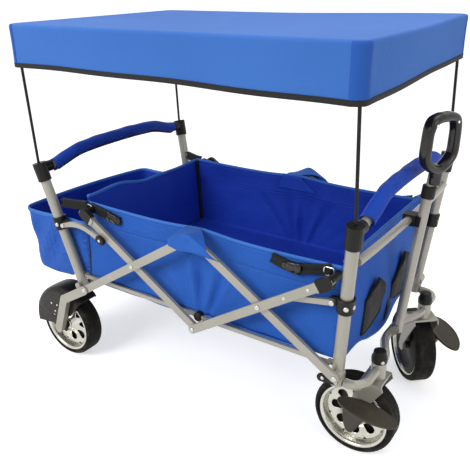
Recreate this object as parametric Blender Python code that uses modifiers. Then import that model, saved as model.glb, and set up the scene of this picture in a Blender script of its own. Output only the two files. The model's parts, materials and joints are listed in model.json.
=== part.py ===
# Folding wagon with a scissor frame, two push handles, a pull pole, four wheels,
# a fabric bed, a rear pouch and a canopy on four rods.
# Metres, +Z up, +X towards the pull pole, right side at -Y.
# The origin is on the ground below the middle of the wagon's box.

import math

import bmesh
import bpy
from mathutils import Matrix, Vector

# Fits
seat_gap = 0.0003
pin_clearance = 0.0004
joint_gap = 0.0007

# Layout: the drawing's x values are moved by this much, so that the origin
# lies midway between the pouch's back and the foremost brake paddle
layout_shift = -0.0059

# Posts, given by the centre of foot and head on the left side
post_radius = 0.013
front_foot = Vector((0.399, 0.236, 0.223))
front_head = Vector((0.432, 0.275, 0.578))
rear_foot = Vector((-0.331, 0.245, 0.236))
rear_head = Vector((-0.405, 0.275, 0.562))

# Post caps, with a socket for the canopy rod and one for the push handle
cap_wall = 0.0035
cap_length = 0.046
cap_roof = 0.014
boss_radius = 0.0135
boss_reach = 0.032
handle_seat = 0.012

# Collars that carry the links
collar_wall = 0.0035
collar_length = 0.028
collar_height = 0.420
ear_radius = 0.0075

# Scissor: two equal crossings on each side
unit_half_length = 0.176
rest_angle = math.radians(32.7)
scissor_foot_x = -0.298
scissor_foot_z = 0.250
bar_width = 0.020
bar_thickness = 0.008
inner_bar_y = 0.260
pin_radius = 0.0035
pin_head_radius = 0.0062
pin_head_height = 0.0014
bar_tip_past_crossing = 0.186

# Links between the collars and the bars
link_width = 0.012
front_link_pin_x = 0.392
rear_link_pin_x = -0.350
front_link_bar_x = 0.290
rear_link_bar_x = -0.218
rear_link_bar_drop = 0.019
rear_link_rise = 0.012

# Bottom rails
rail_width = 0.010
rail_thickness = 0.006
rail_height = 0.272
rail_inner_y = 0.2412
rail_pin_radius = 0.002
rail_lug_thickness = 0.0048

# Wheels
wheel_radius = 0.094
tyre_width = 0.053
tyre_shoulder = 0.010
rim_radius = 0.077
rim_wall = 0.0045
wheel_steps = 20
hub_radius = 0.017
hub_half_length = 0.0275
web_thickness = 0.005
web_inset = 0.0185
spoke_count = 6
spoke_width = 0.016
axle_radius = 0.006

# Front casters
swivel_x = 0.455
swivel_y = 0.149
caster_trail = 0.041
left_caster_turn = math.radians(-48.7)
head_tube_radius = 0.016
head_tube_bottom = 0.205
head_tube_top = 0.250
head_cap_height = 0.017
fork_plate = 0.0032
fork_top = 0.2015
fork_half_inside = 0.0287
stem_radius = 0.0085

# Front lower tube, a U from post to post through both head tubes
lower_tube_radius = 0.010
lower_tube_height = 0.226
lower_tube_bend = 0.030
lower_tube_middle_x = 0.4235
lower_tube_middle_reach = 0.125

# Front upper tube, bowed forward to the pole clip
upper_tube_radius = 0.0085
upper_tube_drop = 0.064
upper_tube_bow = 0.0065
upper_tube_height = front_head.z - upper_tube_drop

# Rear cross tube, under the pouch
rear_tube_radius = 0.0075
rear_tube_height = 0.2445

# Brake paddles of the front casters
paddle_length = 0.128
paddle_width = 0.046
paddle_thickness = 0.009
paddle_height = 0.151
paddle_ahead = 0.049
paddle_tilt = math.radians(-4)
stem_plate = 0.006

# Rear legs and wheels
rear_wheel_x = -0.422
rear_wheel_y = 0.228
leg_width = 0.024
leg_bend = Vector((-0.383, 0.0, 0.199))
leg_inner_y = 0.2633
leg_plate = 0.0030

# Rear fenders and brake pedals, arcs about the wheel's axle
fender_radius = 0.1155
fender_wall = 0.003
fender_cheek_y = 0.2611
fender_inner_y = 0.192
fender_start = math.radians(38)
fender_end = math.radians(156)
fender_cheek_radius = 0.052
pedal_gap = math.radians(1.2)
pedal_sweep = math.radians(30)
pedal_cheek_radius = 0.030
pedal_plane_gap = 0.0007

# Push handles
handle_tube_radius = 0.0100
sleeve_radius = 0.0140
sleeve_end_gap = 0.007
front_handle_rise = 0.038
rear_handle_rise = 0.026
handle_bend = 0.110

# Pull pole
pole_pivot = Vector((0.4405, 0.0, 0.2435))
pole_lean = math.radians(5.7)
pole_outer_radius = 0.0110
pole_inner_radius = 0.0083
pole_wall = 0.0015
pole_outer_length = 0.345
pole_tail = 0.009
pole_collar_length = 0.026
pole_collar_wall = 0.0035
pole_floor = 0.020
pole_inner_gap = 0.025
grip_lift = 0.006
pole_ear = 0.003
pole_seat = 0.020
grip_width = 0.112
grip_length = 0.128
grip_shoulder = 0.036
grip_bar = 0.018
grip_depth = 0.028
grip_neck_radius = 0.0125
grip_neck_length = 0.028
grip_lean = math.radians(9)
grip_turn = math.radians(10)

# Bed of fabric
cloth = 0.003
bed_rear_x = -0.306
bed_front_x = 0.395
bed_rim_half_width = 0.2255
bed_foot_half_width = 0.2394
bed_rim_height = 0.478
bed_floor_height = 0.2775
bed_fold_depth = 0.0045
front_panel_top = 0.492
front_flap_drop = 0.030
pocket_half_width = 0.052
pocket_offset = 0.078
pocket_bottom = 0.300
pocket_top = 0.405
pocket_bulge = 0.010

# Rear pouch
pouch_back_top_x = -0.540
pouch_back_foot_x = -0.522
pouch_floor = 0.258
pouch_rim = 0.424
pouch_half_foot = 0.2300
pouch_half_rim = 0.2420

# Canopy
rod_radius = 0.0035
rod_socket_depth = 0.012
canopy_half_x = 0.439
canopy_half_y = 0.293
canopy_top = 0.902
canopy_hem = 0.810
canopy_cloth = 0.0025
canopy_inset = 0.008
canopy_sag = 0.005
rod_corner_inset = 0.016
rod_tip_gap = 0.0009


def clear_scene():
    for item in list(bpy.data.objects):
        bpy.data.objects.remove(item, do_unlink=True)


clear_scene()

parts = bpy.data.collections.new("folding_wagon")
bpy.context.scene.collection.children.link(parts)


# Materials

def material(name, colour, roughness, metallic):
    made = bpy.data.materials.new(name)
    made.use_nodes = True
    shader = made.node_tree.nodes["Principled BSDF"]
    shader.inputs["Base Color"].default_value = (*colour, 1.0)
    shader.inputs["Roughness"].default_value = roughness
    shader.inputs["Metallic"].default_value = metallic
    made.diffuse_color = (*colour, 1.0)
    return made


grey_paint = material("grey_paint", (0.50, 0.49, 0.45), 0.38, 0.55)
black_plastic = material("black_plastic", (0.025, 0.025, 0.027), 0.50, 0.0)
brown_plastic = material("dark_brown_plastic", (0.075, 0.068, 0.060), 0.45, 0.0)
tyre_rubber = material("tyre_rubber", (0.020, 0.019, 0.018), 0.75, 0.0)
rim_chrome = material("rim_chrome", (0.80, 0.79, 0.76), 0.16, 1.0)
blue_cloth = material("blue_cloth", (0.035, 0.125, 0.560), 0.80, 0.0)
blue_sleeve = material("blue_sleeve", (0.030, 0.100, 0.520), 0.72, 0.0)
black_rod = material("black_rod", (0.020, 0.020, 0.022), 0.35, 0.0)


# Frames of the moving bodies

wagon = bpy.data.objects.new("wagon_frame", None)
wagon.location = (layout_shift, 0.0, 0.0)
parts.objects.link(wagon)


def body(name, pivot):
    empty = bpy.data.objects.new(name, None)
    empty.location = pivot
    empty.empty_display_size = 0.02
    empty.parent = wagon
    parts.objects.link(empty)
    return empty


def ride(item, carrier):
    item.parent = carrier
    if carrier is not wagon:
        item.matrix_parent_inverse = Matrix.Translation(-carrier.location)
    return item


def finish(item, name, finish_material, carrier):
    item.name = name
    item.data.name = name
    item.data.materials.clear()
    item.data.materials.append(finish_material)
    return ride(item, carrier)


# Shape helpers

def side_point(point, side):
    return Vector((point.x, point.y * side, point.z))


def post_point(foot, head, height, side=1):
    share = (height - foot.z) / (head.z - foot.z)
    return side_point(foot.lerp(head, share), side)


def link_object(name, data, collection=parts):
    item = bpy.data.objects.new(name, data)
    collection.objects.link(item)
    return item


def smooth(item, angle=35):
    item.data.shade_smooth()
    item.data.set_sharp_from_angle(angle=math.radians(angle))


def baked(item):
    # A curve or an object with modifiers becomes a plain mesh with welded seams
    bpy.context.view_layer.update()
    graph = bpy.context.evaluated_depsgraph_get()
    mesh = bpy.data.meshes.new_from_object(item.evaluated_get(graph))
    work = bmesh.new()
    work.from_mesh(mesh)
    bmesh.ops.remove_doubles(work, verts=work.verts, dist=0.00001)
    bmesh.ops.recalc_face_normals(work, faces=work.faces)
    work.to_mesh(mesh)
    work.free()
    made = link_object(item.name + "_mesh", mesh)
    made.matrix_world = item.matrix_world.copy()
    bpy.data.objects.remove(item, do_unlink=True)
    return made


def boolean(item, others, operation):
    # The result is a plain mesh, so that it can be moved and turned with its body
    for other in others:
        step = item.modifiers.new(operation.lower(), "BOOLEAN")
        step.operation = operation
        step.solver = "EXACT"
        step.object = other
    made = baked(item)
    for other in others:
        bpy.data.objects.remove(other, do_unlink=True)
    smooth(made)
    return made


def joined(item, additions):
    return boolean(item, additions, "UNION")


def cut(item, tools):
    return boolean(item, tools, "DIFFERENCE")


def cylinder(start, end, radius, sides=14):
    start = Vector(start)
    end = Vector(end)
    mesh = bpy.data.meshes.new("cylinder")
    work = bmesh.new()
    length = (end - start).length
    bmesh.ops.create_cone(work, cap_ends=True, segments=sides, radius1=radius, radius2=radius, depth=length)
    work.to_mesh(mesh)
    work.free()
    item = link_object("cylinder", mesh)
    turn = (end - start).to_track_quat("Z", "Y").to_matrix().to_4x4()
    item.matrix_world = Matrix.Translation((start + end) / 2) @ turn
    smooth(item)
    return item


def block(low, high):
    low = Vector(low)
    high = Vector(high)
    mesh = bpy.data.meshes.new("block")
    work = bmesh.new()
    bmesh.ops.create_cube(work, size=1.0)
    bmesh.ops.scale(work, vec=high - low, verts=work.verts)
    work.to_mesh(mesh)
    work.free()
    item = link_object("block", mesh)
    item.location = (low + high) / 2
    return item


def tube(points, radius, resolution=3):
    curve = bpy.data.curves.new("tube", "CURVE")
    curve.dimensions = "3D"
    curve.bevel_depth = radius
    curve.bevel_resolution = resolution
    curve.use_fill_caps = True
    spline = curve.splines.new("POLY")
    spline.points.add(len(points) - 1)
    for spot, point in zip(spline.points, points):
        spot.co = (*point, 1.0)
    item = link_object("tube", curve)
    return item


def circle_points(centre, radius, count=10):
    turns = [2 * math.pi * index / count for index in range(count)]
    return [(centre[0] + radius * math.cos(t), centre[1] + radius * math.sin(t)) for t in turns]


def arc_points(centre, radius, start, end, count):
    turns = [start + (end - start) * index / count for index in range(count + 1)]
    return [(centre[0] + radius * math.cos(t), centre[1] + radius * math.sin(t)) for t in turns]


def stadium(length, radius, count=5):
    right = arc_points((length, 0), radius, -math.pi / 2, math.pi / 2, count)
    left = arc_points((0, 0), radius, math.pi / 2, 3 * math.pi / 2, count)
    return right + left


def plate(outlines, thickness, edge=0.0):
    # Outlines in the local XY plane, the first one outer and the others holes
    curve = bpy.data.curves.new("plate", "CURVE")
    curve.dimensions = "2D"
    curve.fill_mode = "BOTH"
    curve.extrude = thickness / 2 - edge
    curve.bevel_depth = edge
    curve.bevel_resolution = 0
    for outline in outlines:
        spline = curve.splines.new("POLY")
        spline.points.add(len(outline) - 1)
        spline.use_cyclic_u = True
        for spot, point in zip(spline.points, outline):
            spot.co = (point[0], point[1], 0.0, 1.0)
    return link_object("plate", curve)


def upright(item, start, direction, y):
    # Local X along the direction in the XZ plane, local Z across the wagon
    along = Vector((direction[0], 0.0, direction[1])).normalized()
    up = Vector((-along.z, 0.0, along.x))
    across = along.cross(up)
    turn = Matrix((along, up, across)).transposed().to_4x4()
    item.matrix_world = Matrix.Translation((start[0], y, start[1])) @ turn
    return item


def turned(profile, steps, angle=2 * math.pi):
    # Profile points are radius and height, run down the outer side
    mesh = bpy.data.meshes.new("turned")
    closed = profile[0] == profile[-1]
    points = profile[:-1] if closed else profile
    edges = [(index, index + 1) for index in range(len(points) - 1)]
    if closed:
        edges.append((len(points) - 1, 0))
    mesh.from_pydata([(radius, 0.0, height) for radius, height in points], edges, [])
    item = link_object("turned", mesh)
    screw = item.modifiers.new("screw", "SCREW")
    screw.axis = "Z"
    screw.angle = angle
    screw.steps = steps
    screw.render_steps = steps
    screw.use_merge_vertices = True
    screw.merge_threshold = 0.00001
    return item


def facing(item, centre, side):
    # Local Z points out of the wagon's side
    item.matrix_world = Matrix.Translation(centre) @ Matrix.Rotation(-side * math.pi / 2, 4, "X")
    return item


def solid(item, thickness, offset=-1.0):
    shell = item.modifiers.new("wall", "SOLIDIFY")
    shell.thickness = thickness
    shell.offset = offset
    shell.use_even_offset = True
    return item


def grid_object(name, columns, rows, shape):
    # A grid whose vertices are placed by the function shape(u, v), both from 0 to 1
    mesh = bpy.data.meshes.new(name)
    work = bmesh.new()
    bmesh.ops.create_grid(work, x_segments=columns, y_segments=rows, size=0.5)
    for vertex in work.verts:
        vertex.co = shape(vertex.co.x + 0.5, vertex.co.y + 0.5)
    work.to_mesh(mesh)
    work.free()
    item = link_object(name, mesh)
    smooth(item, 50)
    return item


def subdivide(work, cuts):
    # Cuts the edges of a unit box evenly along each axis
    for axis in range(3):
        chosen = []
        for edge in work.edges:
            along = edge.verts[0].co - edge.verts[1].co
            if abs(along[axis]) > 0.6:
                chosen.append(edge)
        bmesh.ops.subdivide_edges(work, edges=chosen, cuts=cuts[axis], use_grid_fill=True)


def rivet(centre, side, outer_y, inner_y, inner_head=False):
    # A pin with a head outside and, where it goes right through, one inside too
    outer = outer_y + pin_head_height
    inner = inner_y - seat_gap
    profile = [(0.0, outer), (pin_head_radius * 0.75, outer), (pin_head_radius, outer_y), (pin_radius, outer_y)]
    if inner_head:
        profile += [(pin_radius, inner), (pin_head_radius, inner)]
        inner -= pin_head_height
        profile += [(pin_head_radius, inner), (0.0, inner)]
    else:
        profile += [(pin_radius, inner), (0.0, inner)]
    made = turned(profile, 10)
    facing(made, (centre[0], 0.0, centre[1]), side)
    return baked(made)


# Points of the scissor, in the XZ plane

unit_rise = 2 * unit_half_length * math.tan(rest_angle)
scissor_mid_x = scissor_foot_x + 2 * unit_half_length
scissor_front_x = scissor_foot_x + 4 * unit_half_length
bar_half_length = unit_half_length / math.cos(rest_angle)
rear_pin = (scissor_foot_x, scissor_foot_z)
front_pin = (scissor_front_x, scissor_foot_z)
rear_cross = (scissor_foot_x + unit_half_length, scissor_foot_z + unit_rise / 2)
front_cross = (scissor_front_x - unit_half_length, scissor_foot_z + unit_rise / 2)
top_hub = (scissor_mid_x, scissor_foot_z + unit_rise)
low_hub = (scissor_mid_x, scissor_foot_z)
outer_bar_y = inner_bar_y + bar_thickness + joint_gap
outer_face_y = outer_bar_y + bar_thickness
rising = (math.cos(rest_angle), math.sin(rest_angle))
falling = (math.cos(rest_angle), -math.sin(rest_angle))
rear_tip = (rear_cross[0] - bar_tip_past_crossing * rising[0], rear_cross[1] + bar_tip_past_crossing * rising[1])
front_tip = (front_cross[0] + bar_tip_past_crossing * rising[0], front_cross[1] + bar_tip_past_crossing * rising[1])

# Other points that several pieces share

axle_x = swivel_x - caster_trail
rail_front_x = post_point(front_foot, front_head, rail_height).x - post_radius - rail_width / 2 - joint_gap
rail_rear_x = post_point(rear_foot, rear_head, rail_height).x + post_radius + rail_width / 2 + joint_gap
rail_outer_y = rail_inner_y + rail_thickness + joint_gap
pole_axis = Vector((math.sin(pole_lean), 0.0, math.cos(pole_lean)))
link_pin_height = collar_height

# Bodies, each with its empty on its joint's axis

bars_a = body("bars_a_pivot", (rear_pin[0], 0, rear_pin[1]))
bars_b = body("bars_b_pivot", (rear_cross[0], 0, rear_cross[1]))
bars_c = body("bars_c_pivot", (top_hub[0], 0, top_hub[1]))
bars_d = body("bars_d_pivot", (front_cross[0], 0, front_cross[1]))
front = body("front_frame_pivot", (front_pin[0], 0, front_pin[1]))
rear_rails = body("rear_rails_pivot", (rail_rear_x, 0, rail_height))
front_rails = body("front_rails_pivot", (rail_front_x, 0, rail_height))
rear_links = body("rear_links_pivot", (rear_link_pin_x, 0, link_pin_height))
front_links = body("front_links_pivot", (front_link_pin_x, 0, link_pin_height))
pole_body = body("pull_pole_pivot", pole_pivot)
pole_slide = body("pull_pole_slide", pole_pivot)
canopy_body = body("canopy_lift", (0, 0, canopy_hem))
side_names = {1: "left", -1: "right"}
casters = {side: body("caster_" + side_names[side], (swivel_x, side * swivel_y, 0)) for side in (1, -1)}


# Posts and their fittings

def post_with_collar(foot, head, side, lug_pin_x, lug_y, pin_x, ear_y):
    # The tube stops inside its cap, with a clamp for the link and a lug for the bottom rail
    top = post_point(foot, head, head.z - seat_gap, side)
    made = cylinder(side_point(foot, side), top, post_radius)
    centre = post_point(foot, head, rail_height, side)
    lug = plate([stadium(abs(lug_pin_x - centre.x), rail_width / 2 + 0.001)], rail_lug_thickness)
    heading = 1 if lug_pin_x > centre.x else -1
    upright(lug, (centre.x, rail_height), (heading, 0), side * (lug_y - seat_gap - rail_lug_thickness / 2))
    pin_start = (lug_pin_x, side * (lug_y - rail_lug_thickness), rail_height)
    pin_end = (lug_pin_x, side * (lug_y + rail_thickness + 0.0012), rail_height)
    axis = (head - foot).normalized()
    grip = post_point(foot, head, collar_height, side)
    half = side_point(axis, side) * collar_length / 2
    clamp = cylinder(grip - half, grip + half, post_radius + collar_wall, 16)
    heading = 1 if pin_x > grip.x else -1
    ear = plate([stadium(abs(pin_x - grip.x), ear_radius)], bar_thickness)
    upright(ear, (grip.x, collar_height), (heading, 0), side * (ear_y + bar_thickness / 2))
    ear_outer = ear_y + bar_thickness
    pin = rivet((pin_x, collar_height), side, ear_outer + 2 * joint_gap + bar_thickness, ear_outer - 0.004)
    return joined(made, [baked(lug), cylinder(pin_start, pin_end, rail_pin_radius, 10), clamp, baked(ear), pin])


def foot_bracket(side):
    # A socket on the front post's foot, with the boss and pin of the falling bar
    axis = (front_head - front_foot).normalized()
    low = side_point(front_foot - axis * 0.002, side)
    high = side_point(front_foot + axis * 0.024, side)
    socket = cylinder(low, high, post_radius + 0.003, 20)
    boss_start = (front_pin[0], side * front_foot.y, front_pin[1])
    boss_end = (front_pin[0], side * (inner_bar_y - seat_gap), front_pin[1])
    pin = rivet(front_pin, side, inner_bar_y + bar_thickness + seat_gap, inner_bar_y - 0.006)
    return [socket, cylinder(boss_start, boss_end, 0.0115, 16), pin]


def post_cap(foot, head, side):
    # The cap holds the push handle in its boss and carries the canopy rod
    axis = (head - foot).normalized()
    radius = post_radius + seat_gap + cap_wall
    top = side_point(head + axis * cap_roof, side)
    bottom = side_point(head + axis * (cap_roof - cap_length), side)
    made = cylinder(bottom, top, radius, 20)
    boss_start = side_point(head, side)
    boss_end = boss_start - Vector((0, side * boss_reach, 0))
    rod = baked(tube(rod_line(head, foot, side), rod_radius, 2))
    made = joined(made, [cylinder(boss_start, boss_end, boss_radius, 16), rod])
    post_bore = cylinder(bottom - side_point(axis, side) * 0.01, side_point(head, side), post_radius + seat_gap)
    bore_end = boss_end + Vector((0, side * (handle_seat + 0.002), 0))
    handle_bore = cylinder(boss_end - Vector((0, side * 0.01, 0)), bore_end, handle_tube_radius + seat_gap)
    return cut(made, [post_bore, handle_bore])


def rod_line(head, foot, side):
    # From the cap up to the canopy's corner, just under its roof
    axis = (head - foot).normalized()
    reach = canopy_half_x - rod_corner_inset
    end_x = reach if head.x > 0 else -reach
    end_y = canopy_half_y - rod_corner_inset
    end_z = canopy_top - canopy_cloth - rod_tip_gap
    start = head + axis * (cap_roof - rod_socket_depth)
    turn = head + axis * (cap_roof + 0.004)
    return [side_point(start, side), side_point(turn, side), Vector((end_x, side * end_y, end_z))]


def build_posts():
    front_ear = inner_bar_y - joint_gap - bar_thickness
    rear_ear = outer_bar_y - joint_gap - bar_thickness
    for side, word in side_names.items():
        made = post_with_collar(
            front_foot, front_head, side, rail_front_x, rail_outer_y, front_link_pin_x, front_ear
        )
        made = joined(made, foot_bracket(side))
        finish(made, "front_post_" + word, grey_paint, front)
        made = post_with_collar(
            rear_foot, rear_head, side, rail_rear_x, rail_inner_y, rear_link_pin_x, rear_ear
        )
        finish(made, "rear_post_" + word, grey_paint, wagon)
        finish(post_cap(front_foot, front_head, side), "front_post_cap_" + word, black_plastic, front)
        finish(post_cap(rear_foot, rear_head, side), "rear_post_cap_" + word, black_plastic, wagon)


# Scissor bars

def bar(start, direction, length, face_y, side, holes):
    hole = pin_radius + pin_clearance
    outlines = [stadium(length, bar_width / 2)] + [circle_points((spot, 0), hole) for spot in holes]
    made = plate(outlines, bar_thickness)
    return upright(made, start, direction, side * (face_y + bar_thickness / 2))


def build_bars():
    whole = 2 * bar_half_length
    long_bar = bar_half_length + bar_tip_past_crossing
    for side, word in side_names.items():
        pin_y = (outer_face_y, inner_bar_y)
        item = baked(bar(rear_pin, rising, whole, outer_bar_y, side, [0.0]))
        item = joined(item, [rivet(rear_cross, side, *pin_y, True), rivet(top_hub, side, *pin_y, True)])
        finish(item, "bar_a_" + word, grey_paint, bars_a)
        back = (-falling[0], -falling[1])
        item = baked(bar(low_hub, back, long_bar, inner_bar_y, side, [0.0, bar_half_length]))
        item = joined(item, corner_bracket(rear_tip, back, inner_bar_y, side))
        finish(item, "bar_b_" + word, grey_paint, bars_b)
        item = baked(bar(top_hub, falling, whole, inner_bar_y, side, [0.0, bar_half_length, whole]))
        finish(item, "bar_c_" + word, grey_paint, bars_c)
        item = baked(bar(low_hub, rising, long_bar, outer_bar_y, side, []))
        item = joined(item, [rivet(low_hub, side, *pin_y, True), rivet(front_cross, side, *pin_y, True)])
        item = joined(item, corner_bracket(front_tip, rising, outer_bar_y, side))
        finish(item, "bar_d_" + word, grey_paint, bars_d)


def corner_bracket(tip, direction, face_y, side):
    # An end fitting that wraps the bar's tip and reaches in to the bed's rim
    lap = 0.024
    wall = 0.0022
    start = (tip[0] - direction[0] * lap, tip[1] - direction[1] * lap)
    wrap = plate([stadium(lap, bar_width / 2 + wall)], bar_thickness + 2 * wall)
    upright(wrap, start, direction, side * (face_y + bar_thickness / 2))
    rim_y = bed_rim_half_width + cloth / 2
    arm_start = (tip[0], side * (face_y + bar_thickness / 2), tip[1])
    arm_end = (tip[0], side * (rim_y + 0.0016), tip[1])
    return [baked(wrap), cylinder(arm_start, arm_end, 0.008, 14)]


def rear_bar_height(x):
    return rear_cross[1] + (rear_cross[0] - x) * math.tan(rest_angle)


# Links and rails

def straight_link(side):
    start = (front_link_pin_x, link_pin_height)
    end = (front_link_bar_x, low_hub[1] + (front_link_bar_x - low_hub[0]) * math.tan(rest_angle))
    length = math.dist(start, end)
    hole = circle_points((0, 0), pin_radius + pin_clearance)
    made = plate([stadium(length, link_width / 2), hole], bar_thickness)
    direction = ((end[0] - start[0]) / length, (end[1] - start[1]) / length)
    return upright(made, start, direction, side * (inner_bar_y + bar_thickness / 2))


def curved_link(side):
    # Rises from the collar, then bends down to the bar
    end_z = rear_bar_height(rear_link_bar_x) - rear_link_bar_drop
    span = rear_link_bar_x - rear_link_pin_x
    fall = end_z - link_pin_height
    half = link_width / 2
    upper = []
    lower = []
    for index in range(9):
        share = index / 8
        height = fall * share + rear_link_rise * math.sin(math.pi * share) + rear_link_rise * share * (1 - share) * 2
        slope = fall / span + math.pi * rear_link_rise / span * math.cos(math.pi * share)
        normal = Vector((-slope, 1.0)).normalized() * half
        upper.append((span * share + normal.x, height + normal.y))
        lower.append((span * share - normal.x, height - normal.y))
    turn_end = math.atan2(upper[-1][1] - lower[-1][1], upper[-1][0] - lower[-1][0])
    tip = arc_points((span, fall), half, turn_end, turn_end - math.pi, 6)[1:-1]
    turn_start = math.atan2(lower[0][1] - upper[0][1], lower[0][0] - upper[0][0])
    heel = arc_points((0, 0), half, turn_start, turn_start - math.pi, 6)[1:-1]
    outline = upper + tip + lower[::-1] + heel
    hole = circle_points((0, 0), pin_radius + pin_clearance)
    made = plate([outline, hole], bar_thickness)
    return upright(made, (rear_link_pin_x, link_pin_height), (1, 0), side * (outer_bar_y + bar_thickness / 2))


def rail(start_x, end_x, face_y, side):
    heading = 1 if end_x > start_x else -1
    hole = circle_points((0, 0), rail_pin_radius + pin_clearance, 10)
    made = plate([stadium(abs(end_x - start_x), rail_width / 2), hole], rail_thickness)
    return upright(made, (start_x, rail_height), (heading, 0), side * (face_y + rail_thickness / 2))


def build_links_and_rails():
    for side, word in side_names.items():
        finish(baked(straight_link(side)), "front_link_" + word, grey_paint, front_links)
        finish(baked(curved_link(side)), "rear_link_" + word, grey_paint, rear_links)
        rear_rail = baked(rail(rail_rear_x, scissor_mid_x, rail_inner_y, side))
        finish(rear_rail, "rear_rail_" + word, grey_paint, rear_rails)
        front_rail = baked(rail(rail_front_x, scissor_mid_x, rail_outer_y, side))
        finish(front_rail, "front_rail_" + word, grey_paint, front_rails)


# Wheels

def tyre_shape():
    half = tyre_width / 2
    bead = rim_radius + seat_gap
    inner_half = half - 0.006
    outer = []
    for index in range(3):
        turn = math.pi / 2 * index / 2
        reach = wheel_radius - tyre_shoulder + tyre_shoulder * math.sin(turn)
        outer.append((reach, half - tyre_shoulder + tyre_shoulder * math.cos(turn)))
    lower = [(radius, -height) for radius, height in reversed(outer)]
    profile = [(bead, inner_half), (bead + 0.004, half)] + outer + lower
    profile += [(bead + 0.004, -half), (bead, -inner_half), (bead, inner_half)]
    return turned(profile, wheel_steps)


def rim_shape():
    # One turned profile: barrel, web near the outer face and hub, then windows between the spokes
    half = tyre_width / 2 - 0.006
    inner = rim_radius - rim_wall
    web_top = half - web_inset * 0.45
    web_low = web_top - web_thickness
    bore = axle_radius + pin_clearance
    profile = [
        (bore, hub_half_length),
        (hub_radius, hub_half_length),
        (inner, web_top),
        (inner + 0.001, half + 0.003),
        (rim_radius, half + 0.003),
        (rim_radius, -half - 0.003),
        (inner + 0.001, -half - 0.003),
        (inner, web_low),
        (hub_radius, web_low),
        (hub_radius * 0.8, -hub_half_length),
        (bore, -hub_half_length),
        (bore, hub_half_length),
    ]
    made = turned(profile, wheel_steps)
    outlines = []
    low = hub_radius + 0.007
    high = inner - 0.004
    for index in range(spoke_count):
        turn = 2 * math.pi * index / spoke_count
        lean_low = math.pi / spoke_count - spoke_width / 2 / low
        lean_high = math.pi / spoke_count - spoke_width / 2 / high
        outer = arc_points((0, 0), high, turn - lean_high, turn + lean_high, 3)
        inner_arc = arc_points((0, 0), low, turn + lean_low, turn - lean_low, 1)
        outlines.append(outer + inner_arc)
    windows = plate(outlines, 0.04)
    windows.location = (0, 0, web_top)
    return cut(made, [baked(windows)])


def build_wheels():
    tyre = baked(tyre_shape())
    rim = baked(rim_shape())
    smooth(tyre)
    smooth(rim)
    for side, word in side_names.items():
        caster = casters[side]
        front_wheel = body("front_wheel_" + word, (axle_x, side * swivel_y, wheel_radius))
        rear_wheel = body("rear_wheel_" + word, (rear_wheel_x, side * rear_wheel_y, wheel_radius))
        for source, kind, look in ((tyre, "tyre_", tyre_rubber), (rim, "rim_", rim_chrome)):
            for place, carrier in (("front_", caster), ("rear_", rear_wheel)):
                made = link_object(place + kind + word, source.data.copy())
                centre = front_wheel.location if carrier is caster else rear_wheel.location
                facing(made, centre, side)
                finish(made, place + kind + word, look, carrier)
    bpy.data.objects.remove(tyre, do_unlink=True)
    bpy.data.objects.remove(rim, do_unlink=True)


# Front casters

def fork_arm(y):
    # A stamped cheek with an angled shoulder, from the top plate to the axle
    eye = 0.013
    drop = fork_top - wheel_radius
    outline = [(0.020, drop), (0.024, drop - 0.012), (-caster_trail + eye * 0.86, 0.010)]
    outline += arc_points((-caster_trail, 0), eye, math.radians(20), math.radians(-200), 9)
    outline += [(-0.034, drop - 0.012), (-0.030, drop)]
    made = plate([outline[::-1]], fork_plate)
    return upright(made, (swivel_x, wheel_radius), (1, 0), y)


def build_casters():
    for side, word in side_names.items():
        middle = side * swivel_y
        arm_offset = fork_half_inside + fork_plate / 2
        made = baked(fork_arm(middle + arm_offset))
        width = fork_half_inside + fork_plate
        top_half = width - 0.0006
        top_low = (swivel_x - 0.029, middle - top_half, fork_top - 0.0045)
        top = block(top_low, (swivel_x + 0.019, middle + top_half, fork_top + 0.0005))
        stem_end = head_tube_top - 0.004
        stem = cylinder((swivel_x, middle, fork_top - fork_plate), (swivel_x, middle, stem_end), stem_radius)
        race = cylinder((swivel_x, middle, fork_top - 0.001), (swivel_x, middle, head_tube_bottom - seat_gap), head_tube_radius)
        outer = side * (fork_half_inside + fork_plate + stem_plate + seat_gap)
        nut_start = middle + outer + side * seat_gap
        nut_end = nut_start + side * 0.004
        axle = cylinder((axle_x, middle - width * side, wheel_radius), (axle_x, nut_end - side * 0.001, wheel_radius), axle_radius, 12)
        nut = cylinder((axle_x, nut_start, wheel_radius), (axle_x, nut_end, wheel_radius), 0.0095, 6)
        made = joined(made, [baked(fork_arm(middle - arm_offset)), top, race, stem, axle, nut])
        finish(made, "caster_fork_" + word, grey_paint, casters[side])
        paddle = brake_paddle(side)
        finish(paddle, "front_brake_paddle_" + word, brown_plastic, casters[side])
    casters[1].rotation_euler = (0, 0, left_caster_turn)


def brake_paddle(side):
    # A long oval foot plate on a tapering leg that swings on the axle
    near = side * (swivel_y + fork_half_inside + fork_plate + seat_gap)
    leg_y = near + side * stem_plate / 2
    rise = paddle_height - wheel_radius
    outline = [(paddle_ahead - 0.030, rise), (paddle_ahead + 0.022, rise)]
    outline += arc_points((0, 0), 0.0125, math.radians(-15), math.radians(-240), 9)
    leg = plate([outline[::-1]], stem_plate)
    upright(leg, (axle_x, wheel_radius), (1, 0), leg_y)
    made = baked(leg)
    straight = (paddle_length - paddle_width) / 2
    shape = arc_points((straight, 0), paddle_width / 2 - 0.003, -math.pi / 2, math.pi / 2, 8)
    shape += arc_points((-straight, 0), paddle_width / 2 - 0.003, math.pi / 2, 3 * math.pi / 2, 8)
    oval = plate([shape], paddle_thickness, 0.003)
    centre = Vector((axle_x + paddle_ahead, near + side * paddle_width / 2, paddle_height))
    oval.matrix_world = Matrix.Translation(centre) @ Matrix.Rotation(-paddle_tilt, 4, "Y")
    made = joined(made, [baked(oval)])
    hole = axle_radius + pin_clearance
    bore = cylinder((axle_x, near - side * 0.01, wheel_radius), (axle_x, near + side * 0.02, wheel_radius), hole, 12)
    return cut(made, [bore])


# Front frame tubes

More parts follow.
